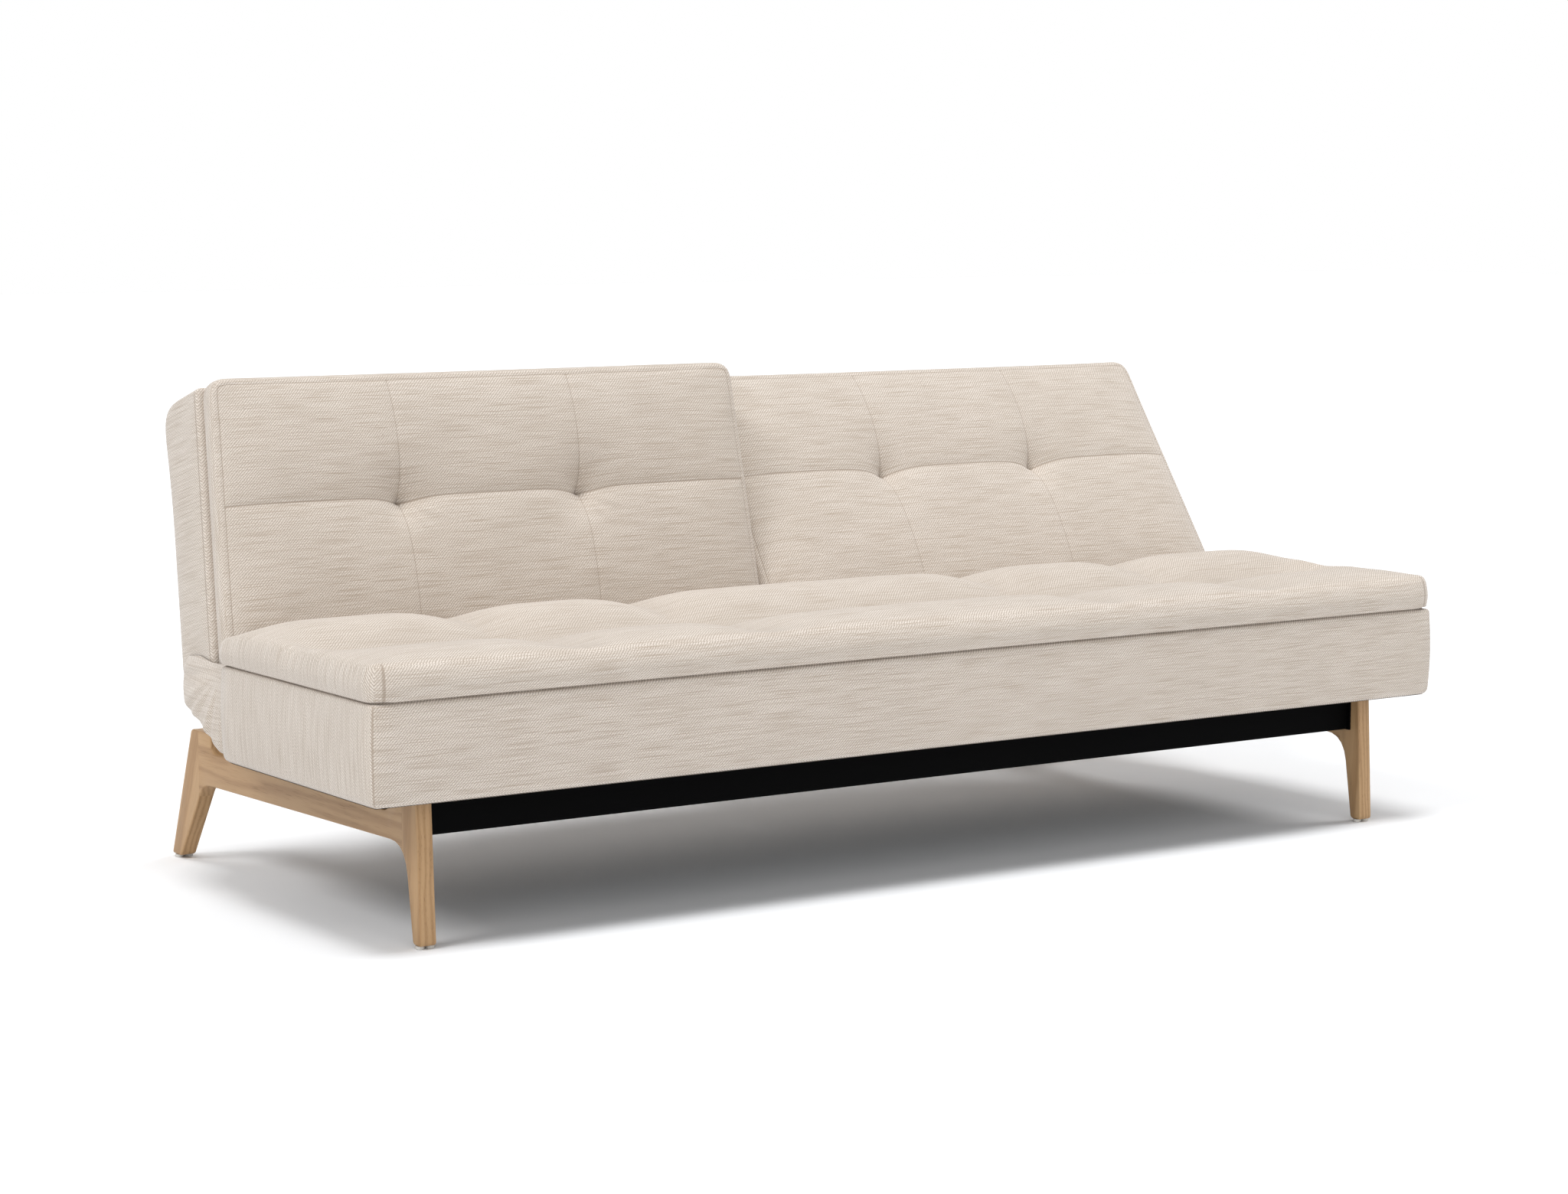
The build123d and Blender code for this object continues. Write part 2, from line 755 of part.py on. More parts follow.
for name, side in signs.items():
    recline = reclines[name]
    face_plane = back_face_plane(recline)

    # Topper: three columns and two rows of pillows between sewn channels
    split_end = [level + back_border_round / 2 for level in back_border]
    sections = [back_section(leaning_plane(side, back_inner, recline, 0), *split_end, back_border_round / 2)]
    for place in range(len(back_stations) - 1):
        start, stop = back_stations[place : place + 2]
        taper, next_taper = back_tapers[place : place + 2]
        for share in (0, *pillow_shares):
            levels = column(*back_levels[place : place + 2], back_full, share)
            leaning = taper + (next_taper - taper) * share
            plane = leaning_plane(side, start + (stop - start) * share, recline, leaning)
            sections.append(back_section(plane, *levels))
    outer_end = [level + back_border_round for level in back_border]
    for inset, levels, shrink in ((back_border_round, back_border, 0), (0, outer_end, back_border_round)):
        plane = leaning_plane(side, back_outer - inset, recline, back_taper)
        sections.append(back_section(plane, *levels, shrink))
    with BuildPart() as topper:
        loft(sections, ruled=True)
    save(topper, f"{name}_back_topper")

    with BuildPart() as shell:
        start = back_plane(low_x(side, back_inner, back_half_width), recline)
        extrude(shell_outline(start), amount=back_half_width - back_inner)
        front = back_trapezoid(face_plane, side, back_inner, 0, -shell_drop, shell_top)
        extrude(front, amount=back_reach, both=True, mode=Mode.INTERSECT)
        welt = back_trapezoid(
            face_plane.offset(-shell_front),
            side,
            back_inner + back_welt_inset,
            back_welt_inset,
            back_welt_inset - shell_drop,
            shell_top - back_welt_inset,
        )
        extrude(welt, amount=back_welt_gap - soft_clearance)
        with BuildSketch(face_plane.offset(-cavity_front)):
            with BuildLine():
                Polyline(
                    (side * cavity_inner, cavity_bottom),
                    (side * cavity_outer, cavity_bottom),
                    (side * cavity_outer, cavity_top),
                    (side * cavity_inner, cavity_top),
                    close=True,
                )
            make_face()
        extrude(amount=-back_reach, mode=Mode.SUBTRACT)
        for hinge_side, x, outward in bracket_places.values():
            if hinge_side != side:
                continue
            ends = arm_span(side, x, outward) + web_span(side, x, outward)
            away = side * outward
            start = min(ends) - notch_margin - (drum_thickness + pin_head_thickness) * (away < 0)
            stop = max(ends) + notch_margin + (drum_thickness + pin_head_thickness) * (away > 0)
            with BuildSketch(back_plane(start, recline)):
                with BuildLine():
                    Polyline(
                        (-notch_front, -shell_drop - cut_over),
                        (notch_rear, -shell_drop - cut_over),
                        (notch_rear, cavity_bottom + cut_over),
                        (-notch_front, cavity_bottom + cut_over),
                        close=True,
                    )
                make_face()
            extrude(amount=stop - start, mode=Mode.SUBTRACT)
    save(shell, f"{name}_back_shell")

    with BuildPart() as cover:
        start = low_x(side, cavity_inner + soft_clearance, cavity_outer - soft_clearance)
        width = cavity_outer - cavity_inner - 2 * soft_clearance
        extrude(shell_outline(back_plane(start, recline)), amount=width)
        with BuildSketch(back_plane(start, recline)):
            with BuildLine():
                Polyline(
                    (shell_rear - cover_thickness, cavity_bottom + soft_clearance),
                    (shell_rear + 2 * shell_flare, cavity_bottom + soft_clearance),
                    (shell_rear + 2 * shell_flare, cavity_top - soft_clearance),
                    (shell_rear - cover_thickness, cavity_top - soft_clearance),
                    close=True,
                )
            make_face()
        extrude(amount=width, mode=Mode.INTERSECT)
    save(cover, f"{name}_back_rear_cover")

    frame_low = cavity_bottom + cut_over
    frame_high = cavity_top - frame_gap
    with BuildPart() as back_frame:
        with BuildSketch(face_plane.offset(-bar_front)):
            with BuildLine():
                Polyline(
                    (side * inner_hinge_x, frame_low),
                    (side * outer_hinge_x, frame_low),
                    (side * outer_hinge_x, frame_high),
                    (side * inner_hinge_x, frame_high),
                    close=True,
                )
            make_face()
            with BuildLine():
                Polyline(
                    (side * (inner_hinge_x + back_bar), frame_low + back_bar),
                    (side * (outer_hinge_x - back_bar), frame_low + back_bar),
                    (side * (outer_hinge_x - back_bar), frame_high - back_bar),
                    (side * (inner_hinge_x + back_bar), frame_high - back_bar),
                    close=True,
                )
            make_face(mode=Mode.SUBTRACT)
            with Locations(*[(side * x, (frame_low + frame_high) / 2) for x in back_seams]):
                Rectangle(back_bar, frame_high - frame_low - 2 * back_bar)
        extrude(amount=-back_bar_depth)
        for _, x, outward in hinge_places:
            with BuildSketch(back_plane(side * x, recline)):
                with Locations(*arm_bolt_spots):
                    RegularPolygon(bolt_hole_radius, bolt_sides)
            extrude(amount=-side * outward * bolt_length, mode=Mode.SUBTRACT)
    save(back_frame, f"{name}_back_frame")

    with BuildPart() as straps:
        with BuildSketch(face_plane.offset(-bar_front)):
            with Locations((side * (inner_hinge_x + outer_hinge_x) / 2, (frame_low + frame_high) / 2)):
                with GridLocations(0, (frame_high - frame_low) / back_strap_count, 1, back_strap_count):
                    Rectangle(outer_hinge_x - inner_hinge_x, strap_width * 0.8)
        extrude(amount=strap_thickness)
    save(straps, f"{name}_back_straps")

    for place, x, outward in hinge_places:
        low, high = arm_span(side, x, outward)
        with BuildPart() as arm:
            with BuildSketch(back_plane(low, recline)):
                with Locations((0, arm_length / 2)):
                    Rectangle(arm_width, arm_length)
                RegularPolygon(arm_eye, eye_sides)
                Circle(pin_radius + pin_clearance, mode=Mode.SUBTRACT)
                with Locations(*arm_bolt_spots):
                    RegularPolygon(bolt_hole_radius, bolt_sides, mode=Mode.SUBTRACT)
            extrude(amount=arm_thickness)
        save(arm, f"{name}_{place}_hinge_arm")

    with BuildPart() as arm_bolts:
        for _, x, outward in hinge_places:
            away = side * outward
            head_x = side * x + away * arm_thickness
            with BuildSketch(back_plane(head_x, recline)):
                with Locations(*arm_bolt_spots):
                    RegularPolygon(bolt_radius, bolt_sides)
            extrude(amount=-away * (arm_thickness + bolt_length - bolt_end_gap))
            with BuildSketch(back_plane(head_x, recline)):
                with Locations(*arm_bolt_spots):
                    RegularPolygon(bolt_head_radius, bolt_sides)
            extrude(amount=away * low_head_height)
    save(arm_bolts, f"{name}_arm_bolts")

    # Fabric fold that bridges the seat and the back, closed at the outer end
    start_y = seat_base_depth + soft_clearance
    lower = -shell_drop - soft_clearance
    fold_outline = (
        (start_y, seat_underside + fold_lift),
        (start_y + fold_lead, seat_underside + fold_lift + fold_slope),
        back_point(recline, shell_rear - fold_back_in, lower - fold_depth),
        back_point(recline, shell_rear, lower),
        back_point(recline, shell_front, lower),
        (start_y, fold_top),
    )
    fold_hollow = (
        (start_y - fold_open, seat_underside + fold_lift + fold_thickness),
        (start_y + fold_lead, seat_underside + fold_lift + fold_slope + fold_thickness),
        back_point(recline, shell_rear - fold_back_in - fold_thickness, lower - fold_depth + fold_slope),
        back_point(recline, shell_rear - fold_thickness, lower),
        back_point(recline, shell_rear - fold_thickness, 2 * fold_thickness),
        back_point(recline, -2 * face_offset, 2 * fold_thickness),
        (start_y - fold_open, fold_top + fold_open),
    )
    fold_inner = back_inner + cut_over
    fold_end = back_half_width + fold_end_gap
    with BuildPart() as fold:
        with BuildSketch(side_plane(low_x(side, fold_inner, fold_end + fold_thickness))):
            with BuildLine():
                Polyline(*fold_outline, close=True)
            make_face()
        extrude(amount=fold_end + fold_thickness - fold_inner)
        with BuildSketch(side_plane(low_x(side, 0, fold_end))):
            with BuildLine():
                Polyline(*fold_hollow, close=True)
            make_face()
        extrude(amount=fold_end, mode=Mode.SUBTRACT)
    save(fold, f"{name}_fold_fabric")
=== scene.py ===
# %% [markdown]
# # A split-back sofa bed in woven cloth, oak and black steel
# The solids of the part come in as a fixed frame, in metres. X runs along the sofa, Y to the rear, Z up.
# Steel, timber and nylon keep their solids and get a finish. The upholstery and the oak side frames are
# made here, piece by piece, in the place that their solids hold.

# %% Load the frame
import math

import bmesh
import bpy
import numpy as np
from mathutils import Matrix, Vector


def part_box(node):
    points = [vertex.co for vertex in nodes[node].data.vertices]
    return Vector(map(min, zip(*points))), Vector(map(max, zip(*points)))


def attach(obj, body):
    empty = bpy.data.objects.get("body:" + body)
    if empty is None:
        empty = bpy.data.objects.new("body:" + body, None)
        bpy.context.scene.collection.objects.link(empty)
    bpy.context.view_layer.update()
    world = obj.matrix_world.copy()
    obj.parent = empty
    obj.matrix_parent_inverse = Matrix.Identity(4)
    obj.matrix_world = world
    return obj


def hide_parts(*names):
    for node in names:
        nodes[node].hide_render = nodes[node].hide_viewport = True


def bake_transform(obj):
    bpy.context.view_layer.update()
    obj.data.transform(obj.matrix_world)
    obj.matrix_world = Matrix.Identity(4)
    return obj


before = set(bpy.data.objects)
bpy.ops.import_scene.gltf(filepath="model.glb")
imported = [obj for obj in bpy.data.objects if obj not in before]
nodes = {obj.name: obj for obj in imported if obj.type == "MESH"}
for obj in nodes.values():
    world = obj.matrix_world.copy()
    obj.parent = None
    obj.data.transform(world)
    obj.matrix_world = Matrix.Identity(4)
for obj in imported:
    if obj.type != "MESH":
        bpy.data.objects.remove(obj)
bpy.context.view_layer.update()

# %% [markdown]
# ## Where things are
# A few sizes come back all the time: the sofa's width, the seat's front, the line that the backs turn on, and
# how far each back leans. A back is easiest to sew upright, with its hinge line at zero, and is then turned
# into place, so one small function does the turning.

# %% Shared sizes
MM = 0.001
HALF_WIDTH = 1050 * MM
SEAT_FRONT = -0.468
HINGE = Vector((0, 0.159, 0.379))
LEAN = {"left": math.radians(14.6), "right": math.radians(31.8)}
SIDE = {"left": -1, "right": 1}


def lean_back(points, name):
    """Turns points of an upright back (X, rearward, upward from the hinge line) into its place."""
    c, s = math.cos(LEAN[name]), math.sin(LEAN[name])
    x, rearward, upward = np.asarray(points, float).T
    return np.stack([x, HINGE.y + rearward * c + upward * s, HINGE.z - rearward * s + upward * c], axis=1)


print("hinge line at", tuple(HINGE), "lean", {k: round(math.degrees(v), 1) for k, v in LEAN.items()})

# %% [markdown]
# ## Camera
# The camera was found from the vanishing lines of the seat and beams: a long lens, a little above the
# backs, that looks at the sofa from its left front corner.

# %% Camera
CAMERA_PLACE = (-3.31007, -4.91458, 1.12164)
LOOKS_DOWN, LOOKS_RIGHT = math.radians(6.72), math.radians(33.79)


def add(name, data):
    """Puts a camera, a lamp or a mesh into the scene."""
    made = bpy.data.objects.new(name, data)
    bpy.context.scene.collection.objects.link(made)
    return made


lens = bpy.data.cameras.new("camera")
lens.lens = 79.77
lens.sensor_width = 36
lens.sensor_fit = "HORIZONTAL"
lens.clip_end = 200
camera = add("camera", lens)
camera.location = CAMERA_PLACE
camera.rotation_euler = (math.pi / 2 - LOOKS_DOWN, 0, -LOOKS_RIGHT)
bpy.context.scene.camera = camera
print("camera lens", lens.lens)

# %% [markdown]
# ## Finishes as sums
# A finish is a small sum over the surface: so much thread, so much streak, so much grain. Node trees are
# hard to read as code, so one class wraps a socket: adding or multiplying two of them adds the Math node.
# Many finishes are just two tones that some pattern mixes, so those share one function.

# %% A socket that can be added up


class Flow:
    """A socket in a finish; plain arithmetic on it adds Math nodes."""

    def __init__(self, tree, socket=None):
        self.tree, self.socket = tree, socket

    def node(self, kind, settings=None, sockets=None, output=0):
        """Any other node: its settings are set first, then the values or links of its sockets."""
        made = self.tree.nodes.new(kind)
        for key, value in (settings or {}).items():
            setattr(made, key, value)
        for key, value in (sockets or {}).items():
            if isinstance(value, Flow):
                self.tree.links.new(value.socket, made.inputs[key])
            else:
                made.inputs[key].default_value = value
        return Flow(self.tree, made.outputs[output])

    def maths(self, operation, *values):
        return self.node("ShaderNodeMath", {"operation": operation}, dict(enumerate(values)))

    __add__ = __radd__ = lambda self, other: self.maths("ADD", self, other)
    __mul__ = __rmul__ = lambda self, other: self.maths("MULTIPLY", self, other)
    __sub__ = lambda self, other: self.maths("SUBTRACT", self, other)
    __rsub__ = lambda self, other: self.maths("SUBTRACT", other, self)
    __truediv__ = lambda self, other: self.maths("DIVIDE", self, other)
    __pow__ = lambda self, other: self.maths("POWER", self, other)

    def wave(self, length):
        """A sine from 0 to 1 that repeats over a length."""
        return self.maths("SINE", self * (math.tau / length)) * 0.5 + 0.5

    def step(self, low, high):
        """0 below low, 1 above high, soft between; turned round where low is the larger."""
        kind = {"interpolation_type": "SMOOTHSTEP"}
        flow = self.node("ShaderNodeMapRange", kind, {0: self, 1: min(low, high), 2: max(low, high)})
        return 1 - flow if low > high else flow

    def blend(self, first, second):
        """A colour between two colours, by this flow."""
        return self.node("ShaderNodeMix", {"data_type": "RGBA"}, {0: self, 6: first, 7: second}, 2)

    def place(self):
        """Where on its piece a point lies."""
        return self.node("ShaderNodeTexCoord", output="Object")

    def axis(self, letter):
        return self.node("ShaderNodeSeparateXYZ", {}, {0: self}, letter)

    def stretch(self, *scale):
        return self.node("ShaderNodeMapping", {}, {"Vector": self, "Scale": scale})

    def noise(self, scale, detail=2.0):
        return self.node("ShaderNodeTexNoise", {}, {"Vector": self, "Scale": scale, "Detail": detail})

    def bump(self, strength, depth):
        """A relief with this flow as its height."""
        return self.node("ShaderNodeBump", {}, {"Strength": strength, "Distance": depth, "Height": self})


def finish(name):
    """A new finish: the material, a flow to start from, and its shader."""
    material = bpy.data.materials.new(name)
    material.use_nodes = True
    return material, Flow(material.node_tree), material.node_tree.nodes["Principled BSDF"]


def feed(shader, **flows):
    """Links flows to the shader's sockets, or sets plain values there."""
    for key, value in flows.items():
        socket = shader.inputs[key.replace("_", " ")]
        if isinstance(value, Flow):
            value.tree.links.new(value.socket, socket)
        else:
            socket.default_value = value


def two_tone(name, pattern, tones, rough, spread=0, relief=None, **plain):
    """A finish of two tones that a pattern mixes; the pattern can also spread its roughness and raise it."""
    material, flow, shader = finish(name)
    mix = pattern(flow.place())
    feed(shader, Base_Color=mix.blend(*tones), Roughness=mix * spread + rough if spread else rough, **plain)
    if relief:
        feed(shader, Normal=mix.bump(*relief))
    return material


print("finishes are written as sums")

# %% [markdown]
# ## Floor and light
# The sofa stands in a white studio: three soft lights overhead, in a row along the sofa, a weaker one from
# the front left, and light from all round. The world shows plain white to the camera, and a third of it to
# the cloth.

# %% Floor and light
ALL_ROUND = 0.33
OVERHEAD = {"left": (1.0, -42), "middle": (1.4, -5), "right": (0.85, 42)}
FLOOR_HALF = 30

world = bpy.data.worlds.new("studio")
bpy.context.scene.world = world
world.use_nodes = True
air = Flow(world.node_tree)
camera_ray, glossy_ray, clear_ray = (
    air.node("ShaderNodeLightPath", output=f"Is {kind} Ray") for kind in ("Camera", "Glossy", "Transmission"))
seen = air.maths("MAXIMUM", air.maths("MAXIMUM", camera_ray, glossy_ray), clear_ray)
feed(world.node_tree.nodes["Background"], Color=(1, 1, 1, 1), Strength=seen * (1 - ALL_ROUND) + ALL_ROUND)


def soft_sun(name, strength, spread, turn):
    lamp = bpy.data.lights.new(name, "SUN")
    lamp.energy = strength
    lamp.angle = math.radians(spread)
    add(name, lamp).rotation_euler = [math.radians(v) for v in turn]


for label, (strength, turn) in OVERHEAD.items():
    soft_sun(f"overhead_{label}", strength, 20, (5, turn, 0))
soft_sun("front_light", 0.82, 60, (62, 0, -26))

floor_mesh = bpy.data.meshes.new("floor")
floor_corners = [(FLOOR_HALF * x, FLOOR_HALF * y, 0) for x, y in ((-1, -1), (1, -1), (1, 1), (-1, 1))]
floor_mesh.from_pydata(floor_corners, [], [(0, 1, 2, 3)])
floor_mesh.materials.append(two_tone(
    "white_paper", lambda place: place.noise(3.0), ((0.90, 0.91, 0.925, 1), (0.92, 0.93, 0.945, 1)), 0.9,
    Specular_IOR_Level=0.0))
add("floor", floor_mesh)
bpy.context.scene.view_settings.view_transform = "Standard"
print("floor and light are set")

# %% [markdown]
# ## The cloth
# The cover is a light beige twill: fine diagonal ribs about five millimetres apart, and here and there a
# thicker, darker yarn that shows as a streak along the weft. Each sewn piece carries a flat map of its
# cloth in metres, so the threads have one size everywhere and run along each panel. Two numbers on each point
# tell the cloth how near a seam is and how deep in a hollow it lies, and both make it darker; the darkening
# in the hollows is painted shade.

# %% Cloth finish
LIGHT_YARN = (0.79, 0.718, 0.65, 1)
DARK_YARN = (0.37, 0.315, 0.26, 1)
STREAK = (0.38, 0.305, 0.235, 1)
SEAM_SHADE = (0.30, 0.235, 0.18, 1)
THREAD, RIB = 0.0017, 0.0051
SEAM_HALF, SEAM_FADE = 0.0006, 0.0021


def cloth_finish(name):
    material, flow, shader = finish(name)
    flat = flow.node("ShaderNodeUVMap", {"uv_map": "weave"})
    # The first number read here is painted shade: it darkens the cloth in the hollows between the pillows.
    hollow, gap = (flow.node("ShaderNodeAttribute", {"attribute_name": key}, output="Fac")
                   for key in ("hollow", "seam"))
    across, along = flat.axis("X"), flat.axis("Y")
    rows = flow.maths("FLOOR", along / THREAD) * THREAD
    rib = (across - rows + flat.noise(90.0) * 0.004).wave(RIB)
    lift = rib * 0.45 + along.wave(THREAD) * 0.15 + flat.noise(420.0) * 0.55
    fine_slub = flat.stretch(13.0, 720.0, 1.0).noise(1.0, 1.0).step(0.46, 0.64)
    thick_slub = flat.stretch(8.0, 480.0, 1.0).noise(1.0, 1.0).step(0.50, 0.68)
    tone = flat.noise(7.0).step(0.3, 0.7)
    line = gap.step(SEAM_FADE, SEAM_HALF)
    colour = lift.step(0.25, 0.85).blend(DARK_YARN, LIGHT_YARN)
    # The third mix below is painted shade: the cloth turns toward DARK_YARN in the hollows.
    for share, shade in ((fine_slub * 0.40 + thick_slub * 0.34, STREAK), (tone * 0.10, DARK_YARN),
                         (hollow * 0.38, DARK_YARN), (line * 0.6, SEAM_SHADE)):
        colour = share.blend(colour, shade)
    feed(shader, Base_Color=colour, Roughness=0.92, Normal=(lift - line * 1.2).bump(0.35, 0.0008),
         Specular_IOR_Level=0.15, Sheen_Weight=0.30)
    return material


cover_cloth = cloth_finish("cover_cloth")
print("cloth:", cover_cloth.name)

# %% [markdown]
# ## Sewing a cushion
# Every padded piece of the sofa starts as the same thing: a slab of quads with a top, a bottom and rounded
# walls. The lines of its grid run through the seams, so a seam is always a row of points that can be held
# back while the rest swells. Each point of a slab knows its place on the flat cloth: along, across, and how
# far down the wall, with a mark for the underside.

# %% A slab of quads with rounded walls
TINY = 1e-9  # keeps a division from failing
QUARTER = [k * math.pi / 8 for k in range(5)]
UNDERSIDE = 1.0  # stands in the place of a wall's depth
FOOT_ROWS = 4


def lines(stops, step):
    """Grid lines through the stops, about a step apart."""
    out = [stops[0]]
    for low, high in zip(stops, stops[1:]):
        parts = max(1, round((high - low) / step))
        out += [low + (high - low) * k / parts for k in range(1, parts + 1)]
    return np.array(out)


def corner_lines(stops, radius, step):
    """Grid lines with one more at a corner's radius from each end."""
    return lines([stops[0], stops[0] + radius, *stops[1:-1], stops[-1] - radius, stops[-1]], step)


def grid_quads(at, upward=True):
    """The faces between the points of a grid, to be seen from above or from below."""
    corners = [at[:-1, :-1], at[1:, :-1], at[1:, 1:], at[:-1, 1:]]
    return np.stack(corners if upward else corners[:1] + corners[:0:-1], axis=-1).reshape(-1, 4)


def wall_steps(height, top_round, bottom_round, bulge, rows):
    """Steps down a wall from the top's rim to the bottom's: how far outward and how far down."""
    steps = [(top_round * math.sin(t), top_round * (1 - math.cos(t))) for t in QUARTER[1:]]
    flat = height - top_round - bottom_round
    for k in range(1, rows):
        steps.append((top_round + bulge * math.sin(math.pi * k / rows), top_round + flat * k / rows))
    reach = top_round - bottom_round
    for t in reversed(QUARTER):
        steps.append((reach + bottom_round * math.sin(t), height - bottom_round * (1 - math.cos(t))))
    return steps


def slab(a, b, top, edge, corner, bottom_round, bulge, rows):
    """A closed slab over the grid lines a and b: its points, its faces, each point's place on the flat
    cloth, and which points are its rim and its foot (the underside and the last rows of the walls)."""
    radius = max(corner - edge, 0.5 * MM)
    ga, gb = np.meshgrid(a, b, indexing="ij")
    mid_a = np.clip(ga, a[0] + radius, a[-1] - radius)
    mid_b = np.clip(gb, b[0] + radius, b[-1] - radius)
    da, db = ga - mid_a, gb - mid_b
    pull = np.maximum(abs(da), abs(db)) / np.maximum(np.hypot(da, db), TINY)
    pa, pb, zero = mid_a + da * pull, mid_b + db * pull, np.zeros_like(ga)
    at = np.arange(ga.size).reshape(ga.shape)
    rim = np.concatenate([at[:, 0], at[-1, 1:], at[-2::-1, -1], at[0, -2:0:-1]])
    out = np.stack([da.ravel()[rim], db.ravel()[rim]], axis=1)
    straight = abs(out).min(axis=1) < TINY
    sides = [(grid == stops[-1]) * 1.0 - (grid == stops[0]) for grid, stops in ((ga, a), (gb, b))]
    out[straight] = np.stack(sides, -1).reshape(-1, 2)[rim][straight]
    out /= np.linalg.norm(out, axis=1)[:, None]
    points = [np.stack([pa, pb, top(ga, gb)], axis=-1).reshape(-1, 3)]
    cut = [np.stack([ga, gb, zero], axis=-1).reshape(-1, 3)]
    quads, walls, row, count = [grid_quads(at)], [], rim, ga.size
    rim_points, rim_cut = points[0][rim], cut[0][rim]
    height = float(rim_points[:, 2].mean())
    for outward, down in wall_steps(height, edge, bottom_round, bulge, rows):
        left = rim_points[:, 2] * (1 - down / height)
        points.append(np.column_stack([rim_points[:, :2] + out * outward, left]))
        cut.append(np.column_stack([rim_cut[:, :2], np.full(len(rim), outward + down)]))
        new = np.arange(count, count + len(rim))
        quads.append(np.stack([np.roll(row, 1), np.roll(new, 1), new, row], axis=-1))
        walls.append(new)
        row, count = new, count + len(rim)
    low = np.stack([pa, pb, zero], axis=-1)[1:-1, 1:-1].reshape(-1, 3)
    under = np.zeros_like(at)
    under.ravel()[rim] = row
    under[1:-1, 1:-1] = np.arange(count, count + len(low)).reshape(len(a) - 2, len(b) - 2)
    points.append(low)
    cut.append(np.column_stack([low[:, :2], np.full(len(low), UNDERSIDE)]))
    quads.append(grid_quads(under, False))
    return {"points": np.concatenate(points), "cut": np.concatenate(cut), "quads": np.concatenate(quads),
            "rim": rim, "foot": np.concatenate([under.ravel(), *walls[-FOOT_ROWS:]])}


print("slab helper ready")

# %% [markdown]
# ## From a slab to a piece
# A slab becomes an object, gets its cloth laid on, and stores numbers on its points for the finish to read.
# A finished piece is handed over: it rides on its body, and the solid that it stands for is hidden.

# %% Pieces and their cloth
FAR = 0.05  # a gap to the nearest seam at which the cloth shows none
CUT = ("cut_a", "cut_b", "cut_c")


def piece(name, points, quads, wears):
    """A new object from points and faces, smooth-shaded, with its finish."""
    mesh = bpy.data.meshes.new(name)
    mesh.from_pydata([tuple(p) for p in points], [], [tuple(int(k) for k in q) for q in quads])
    mesh.polygons.foreach_set("use_smooth", [True] * len(mesh.polygons))
    mesh.materials.append(wears)
    return add(name, mesh)


def spots(made, what="co"):
    """The points of an object, or their normals, as an array."""
    got = np.zeros(len(made.data.vertices) * 3)
    made.data.vertices.foreach_get(what, got)
    return got.reshape(-1, 3)


def move(made, points):
    made.data.vertices.foreach_set("co", np.asarray(points, float).ravel())
    made.data.update()


def cover(name, points, quads, upright_ends=False):
    """A piece in the cover cloth, mapped onto each panel in metres, from the side that it faces; on the
    ends of the sofa the cloth can stand upright."""
    made = piece(name, points, quads, cover_cloth)
    mesh, at = made.data, spots(made)
    weave = mesh.uv_layers.new(name="weave")
    for face in mesh.polygons:
        facing = max(range(3), key=lambda k: abs(face.normal[k]))
        u, v = ((2, 1) if upright_ends else (1, 2), (0, 2), (0, 1))[facing]
        for loop in face.loop_indices:
            point = at[mesh.loops[loop].vertex_index]
            weave.data[loop].uv = (point[u], point[v])
    return made


def keep(made, **numbers):
    """Stores numbers on each point, for the finish or a later step to read."""
    for name, values in numbers.items():
        stored = made.data.attributes.new(name, "FLOAT", "POINT").data
        stored.foreach_set("value", np.full(len(stored), values, np.float32))


def recall_cut(made):
    """Each point's place on the flat cloth: along, across and down the wall."""
    got = np.zeros((len(CUT), len(made.data.vertices)), np.float32)
    for key, column in zip(CUT, got):
        made.data.attributes[key].data.foreach_get("value", column)
    return got.astype(float)


def hand_over(made, body, node=None):
    """Hangs a finished piece on its body, and hides the solid that it stands for."""
    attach(made, body)
    if node:
        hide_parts(node)


print("pieces keep", CUT)

# %% [markdown]
# ## Filling it
# Foam pushes the cover outward everywhere, and the seams and tufts hold it back. Blender's cloth solver does
# just that: pressure inside, no gravity, and a group of points that are held. How far a point may travel is
# capped, so a cushion stays in the room that its solid takes.

# %% Let the cover swell


def worked_out(made):
    """The object with its modifiers run."""
    return made.evaluated_get(bpy.context.evaluated_depsgraph_get())


def settle(made, modifier):
    """Keeps what a modifier makes as the object's plain mesh."""
    old = made.data
    made.data = bpy.data.meshes.new_from_object(worked_out(made))
    made.modifiers.remove(modifier)
    made.data.name = old.name
    bpy.data.meshes.remove(old)


def swell(made, held, pressure, most, frames=20):
    """Blows the cover up between its held points; held is a weight from 0 to 1 for each point."""
    scene, start, held = bpy.context.scene, spots(made), np.round(held, 2)
    group = made.vertex_groups.new(name="held")
    for weight in np.unique(held[held > 0]):
        group.add([int(k) for k in np.flatnonzero(held == weight)], float(weight), "REPLACE")
    cloth = made.modifiers.new("cloth", "CLOTH")
    rule = cloth.settings
    rule.vertex_group_mass = "held"
    rule.pin_stiffness = 1.0
    rule.use_pressure = True
    rule.uniform_pressure_force = pressure
    rule.effector_weights.gravity = 0
    rule.quality = 5
    rule.mass = 0.15
    rule.tension_stiffness = rule.compression_stiffness = 12
    rule.bending_stiffness = 0.6
    cloth.collision_settings.use_collision = False
    for k in range(1, frames + 1):
        scene.frame_set(k)
    travel = spots(worked_out(made)) - start
    far = np.linalg.norm(travel, axis=1)
    travel *= np.minimum(1, most / np.maximum(far, TINY))[:, None]
    made.modifiers.remove(cloth)
    made.vertex_groups.clear()
    scene.frame_set(1)
    move(made, start + travel)
    print(made.name, "swelled by up to", round(float(np.minimum(far, most).max()) / MM, 1), "mm")


def refine(made):
    """One round of subdivision, applied, so that seams can be worked into the finer mesh."""
    finer = made.modifiers.new("finer", "SUBSURF")
    finer.levels = finer.render_levels = 1
    settle(made, finer)


print("cloth solver ready")

